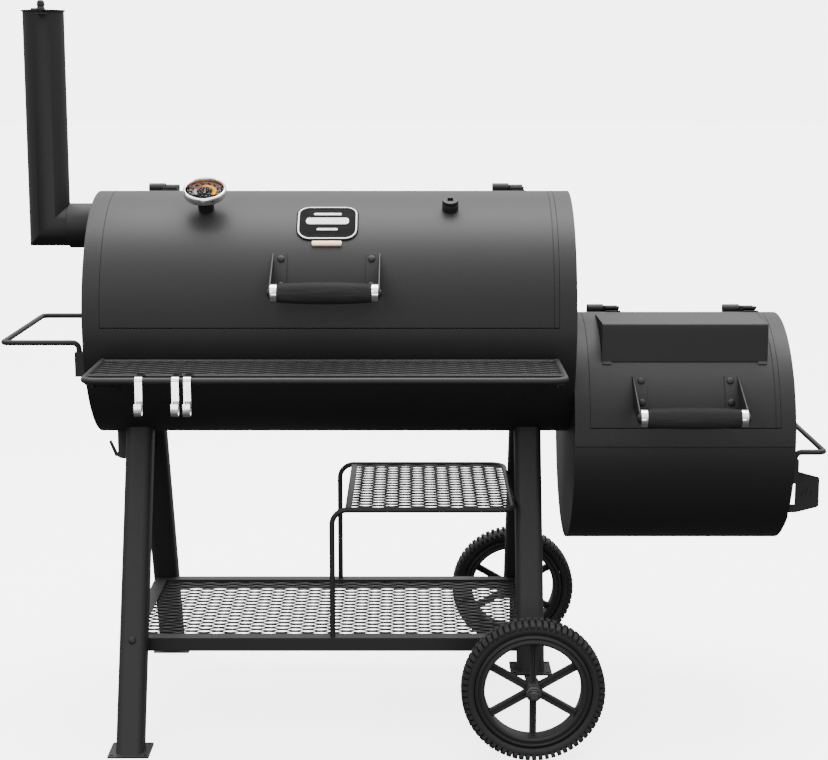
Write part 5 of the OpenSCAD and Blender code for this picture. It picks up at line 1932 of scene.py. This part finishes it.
@dataclass
class AshDoor(Assembly):
    """The clean-out door at the right end, its hinge, pull and air damper."""

    z0: float = 378.0
    z1: float = 500.0
    half: float = 140.0
    hinge_y: float = 152.0
    damper_z: float = 437.0
    vent_r: float = 27.0
    pull_y: float = -150.0
    pitch: float = 34.0
    knuckle: float = 24.0
    wall: float = FIREBOX.right
    face: float = FIREBOX.right + 0.4

    def vents(self) -> list[Outline]:
        """Returns the three round vents, in Y and Z."""
        return [circle(13, 28, centre)
                for centre in arc(self.vent_r, 30, -210, 2, (0, self.damper_z))]

    def door_outline(self) -> Outline:
        """Returns the door's outline, clipped to the firebox's round."""
        r = FIREBOX.radius - 5
        left, right = -self.half - 14, self.half + 4
        depth = FIREBOX.z - self.z0

        def clipped(y: float) -> Outline:
            """Returns the lower corner at a side, following the round where it bites."""
            edge = math.sqrt(r * r - depth * depth)
            if abs(y) <= edge:
                return [(y, self.z0)]
            a0 = math.degrees(math.atan2(-depth, math.copysign(edge, y)))
            a1 = math.degrees(math.atan2(-math.sqrt(r * r - y * y), y))
            return arc(r, a0, a1, 5, (0, FIREBOX.z))

        return [*reversed(clipped(left)), *clipped(right), (right, self.z1), (left, self.z1)]

    def door(self) -> None:
        """Makes the door with its knuckles and damper stud."""
        x, mid = self.face, (self.z0 + self.z1) / 2
        shape = Blank().plate([self.door_outline(), *self.vents()], x, x + 3, SIDEWAYS)
        pin = self.wall + 9
        for s in (-1, 1):
            low = mid + s * self.pitch - self.knuckle / 2
            shape.box((x, self.hinge_y - 10, low),
                      (x + 6.5, self.hinge_y - 3.4, low + self.knuckle))
            shape.lathe(sleeve(3.2, 6, 0, self.knuckle, 0.6), at(pin, self.hinge_y, low), 28)
        shape.lathe([(0, 0), (5, 0), (5, 7.4), (8, 7.4), (8, 8.6), (6.6, 9.4), (0, 9.4)],
                    along_x(x, 0, self.damper_z), 32)
        self.piece("door_sheet", shape, "ash_door", body="ash_door")

    def hinge(self) -> None:
        """Makes the fixed lug and the pin."""
        mid, lug, pin = (self.z0 + self.z1) / 2, self.pitch - self.knuckle / 2 - 0.5, self.wall + 9
        reach = self.pitch + self.knuckle / 2 + 4
        shape = Blank().lathe([(0, -reach), (4.4, -reach), (4.4, -reach + 2), (3, -reach + 2),
                               (3, reach - 2), (4.4, reach - 2), (4.4, reach), (0, reach)],
                              at(pin, self.hinge_y, mid), 24)
        shape.lathe(sleeve(3, 6, -lug, lug, 0.6), at(pin, self.hinge_y, mid), 28)
        shape.box((self.wall, self.hinge_y - 4, mid - lug),
                  (pin - 2.8, self.hinge_y + 6, mid + lug))
        self.piece("door_hinge_lug", shape, "ash_door_hinge")

    def pull(self) -> None:
        """Makes the pull plate with its folded edges and three pressed dashes."""
        x = self.face + 3
        outline = [(x, 410), (x + 14, 410), *arc(4, 285, 360, 4, (x + 52.4, 424.4)),
                   *arc(4, 0, 75, 4, (x + 52.4, 473.6)), (x + 14, 488), (x, 488),
                   (x, 472), (x + 12, 472), (x + 12, 425), (x, 425)]
        place = along_y(0, self.pull_y, 0)
        shape = Blank().plate([outline], -1.5, 1.5, place)
        for near, far in ((485.4, 475.2), (410.4, 420.2)):
            fold = [(x + 14, near), (x + 52, far), (x + 52, far + 2.2), (x + 14, near + 2.2)]
            shape.plate([fold], -3.2, 3.2, place)
        for i in range(3):
            lean = Matrix.Rotation(math.radians(-24), 4, "Z")
            seat = place @ at(x + 27 + 8 * i, 448 + (4 if i == 1 else 0), 0) @ lean
            shape.plate([rounded(3.2, 17 if i == 1 else 12, 1.4, steps=3)], -3.4, 3.4, seat)
        self.piece("door_pull", shape, "ash_door_pull", body="ash_door", edge=0.3)

    def damper(self) -> None:
        """Makes the damper disc and its thumb tab."""
        x = self.face + 3.5
        centre = (0.0, self.damper_z)
        shape = Blank().plate([circle(46, 72, centre), circle(5.1, 24, centre), *self.vents()],
                              x, x + 2.5, SIDEWAYS)
        shape.box((x + 2.4, -8, self.damper_z - 41), (x + 18.5, 8, self.damper_z - 38))
        self.piece("damper_disc", shape, "air_damper", body="air_damper")

    steps = (door, hinge, pull, damper)


# ------ studio


@dataclass
class Studio:
    """The pale floor, the soft lights and the camera."""

    camera_at: tuple[float, float, float] = (-0.0096, -3.3165, 1.2159)
    pitch: float = 9.83
    lens: float = 77.29
    shift: float = 0.004
    room_radius: float = 40.0
    floor_glow: float = 3.6
    wall_glow: float = 4.55
    sky_power: float = 4.0
    sky: tuple[Flat, ...] = ((-1.0, 0.015), (-0.3, 0.05), (0.0, 0.17), (0.35, 0.27), (1.0, 0.9))

    def white(self, name: str, mesh: bpy.types.Mesh, glow: float) -> None:
        """Puts up a plain white part of the studio, which throws no light on the object."""
        material = bpy.data.materials.new(name)
        material.use_nodes = True
        w = Wiring(material.node_tree)
        w.feed(w.tree.nodes["Principled BSDF"], {
            "Base Color": (0.86, 0.86, 0.87, 1), "Roughness": 0.9, "Specular IOR Level": 0.0,
            "Emission Color": (1, 1, 1, 1), "Emission Strength": glow})
        mesh.materials.append(material)
        made = bpy.data.objects.new(name, mesh)
        made.visible_diffuse = made.visible_glossy = made.visible_shadow = False
        bpy.context.scene.collection.objects.link(made)

    def room(self) -> None:
        """Lays the floor and puts a round wall and ceiling behind it."""
        h = self.room_radius
        ground = bpy.data.meshes.new("floor")
        ground.from_pydata([(-h, -h, 0), (h, -h, 0), (h, h, 0), (-h, h, 0)], [], [(0, 1, 2, 3)])
        self.white("floor", ground, self.floor_glow)
        dome = bmesh.new()
        bmesh.ops.create_uvsphere(dome, u_segments=48, v_segments=24, radius=h)
        bmesh.ops.reverse_faces(dome, faces=dome.faces)
        self.white("backdrop", to_mesh(dome, "backdrop"), self.wall_glow)

    def light(self, name: str, at_point: Sequence[float], aim: Sequence[float],
              size: Flat, power: float) -> None:
        """Hangs one soft box."""
        data = bpy.data.lights.new(name, "AREA")
        data.shape, data.size, data.size_y, data.energy = "RECTANGLE", *size, power
        made = bpy.data.objects.new(name, data)
        made.location = at_point
        made.rotation_euler = (Vector(aim) - Vector(at_point)).to_track_quat("-Z", "Y").to_euler()
        bpy.context.scene.collection.objects.link(made)

    def build(self) -> None:
        """Sets up the whole studio."""
        world = bpy.data.worlds.new("studio")
        world.use_nodes = True
        w = Wiring(world.node_tree)
        aim = w.node("ShaderNodeTexCoord", out="Generated")
        height = w.node("ShaderNodeSeparateXYZ", {}, {0: aim}, out="Z")
        stops = [(0.5 + level / 2, glow) for level, glow in self.sky]
        glow = w.node("ShaderNodeValToRGB", {"stops": stops}, {0: height * 0.5 + 0.5})
        w.feed(w.tree.nodes["Background"], {"Color": (1.0, 0.99, 0.985, 1),
                                            "Strength": glow * self.sky_power})
        scene = bpy.context.scene
        scene.world = world
        self.room()
        self.light("overhead", (0, 0.35, 3.2), (0, 0, 0.7), (3.4, 1.6), 130)
        self.light("front fill", (-1.6, -3.2, 2.6), (0, 0, 0.5), (1.8, 1.2), 16)
        self.light("low window", (0, -4.6, 0.3), (0, 0, 0.6), (3.4, 1.0), 44)
        data = bpy.data.cameras.new("camera")
        data.lens, data.shift_x, data.sensor_width = self.lens, self.shift, 36.0
        camera = bpy.data.objects.new("camera", data)
        camera.location = self.camera_at
        camera.rotation_euler = (math.radians(90 - self.pitch), 0, 0)
        scene.collection.objects.link(camera)
        scene.camera = camera


def main() -> None:
    """Builds the smoker's looks and its studio."""
    logging.basicConfig(level=logging.INFO, format="%(name)s: %(message)s")
    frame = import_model()
    Studio().build()
    bench = Bench(frame["nodes"])
    metal = ExpandedMetal(bench)
    CookingBarrel(bench).build()
    DrumLid(bench, BARREL, "lid_sheet", "lid_shell", "chamber_lid", 409.5, 0, 108).build()
    LiftOffHinges(bench, BARREL, "lid", "chamber_lid", (-332.0, 332.0), 95.0, 995.0).build()
    LidHandle(bench, BARREL, "lid", "chamber_lid", -6.0, -285.0, 836.0, (16, 34.2)).build()
    Plaque(bench).build()
    Thermometer(bench).build()
    ProbePort(bench).build()
    Smokestack(bench).build()
    SideHandles(bench).build()
    FrontShelf(bench, metal).build()
    Cart(bench, metal).build()
    Wheels(bench).build()
    Firebox(bench).build()
    DrumLid(bench, FIREBOX, "firebox_lid_sheet", "firebox_lid", "firebox_lid", 172, 9.3,
            106).build()
    LiftOffHinges(bench, FIREBOX, "firebox", "firebox_lid", (517.5, 782.0), 80.0, 761.0).build()
    LidHandle(bench, FIREBOX, "firebox", "firebox_lid", 643.5, -290.0, 615.0, (18.5, 35)).build()
    AshDoor(bench).build()


if __name__ == "__main__":
    main()
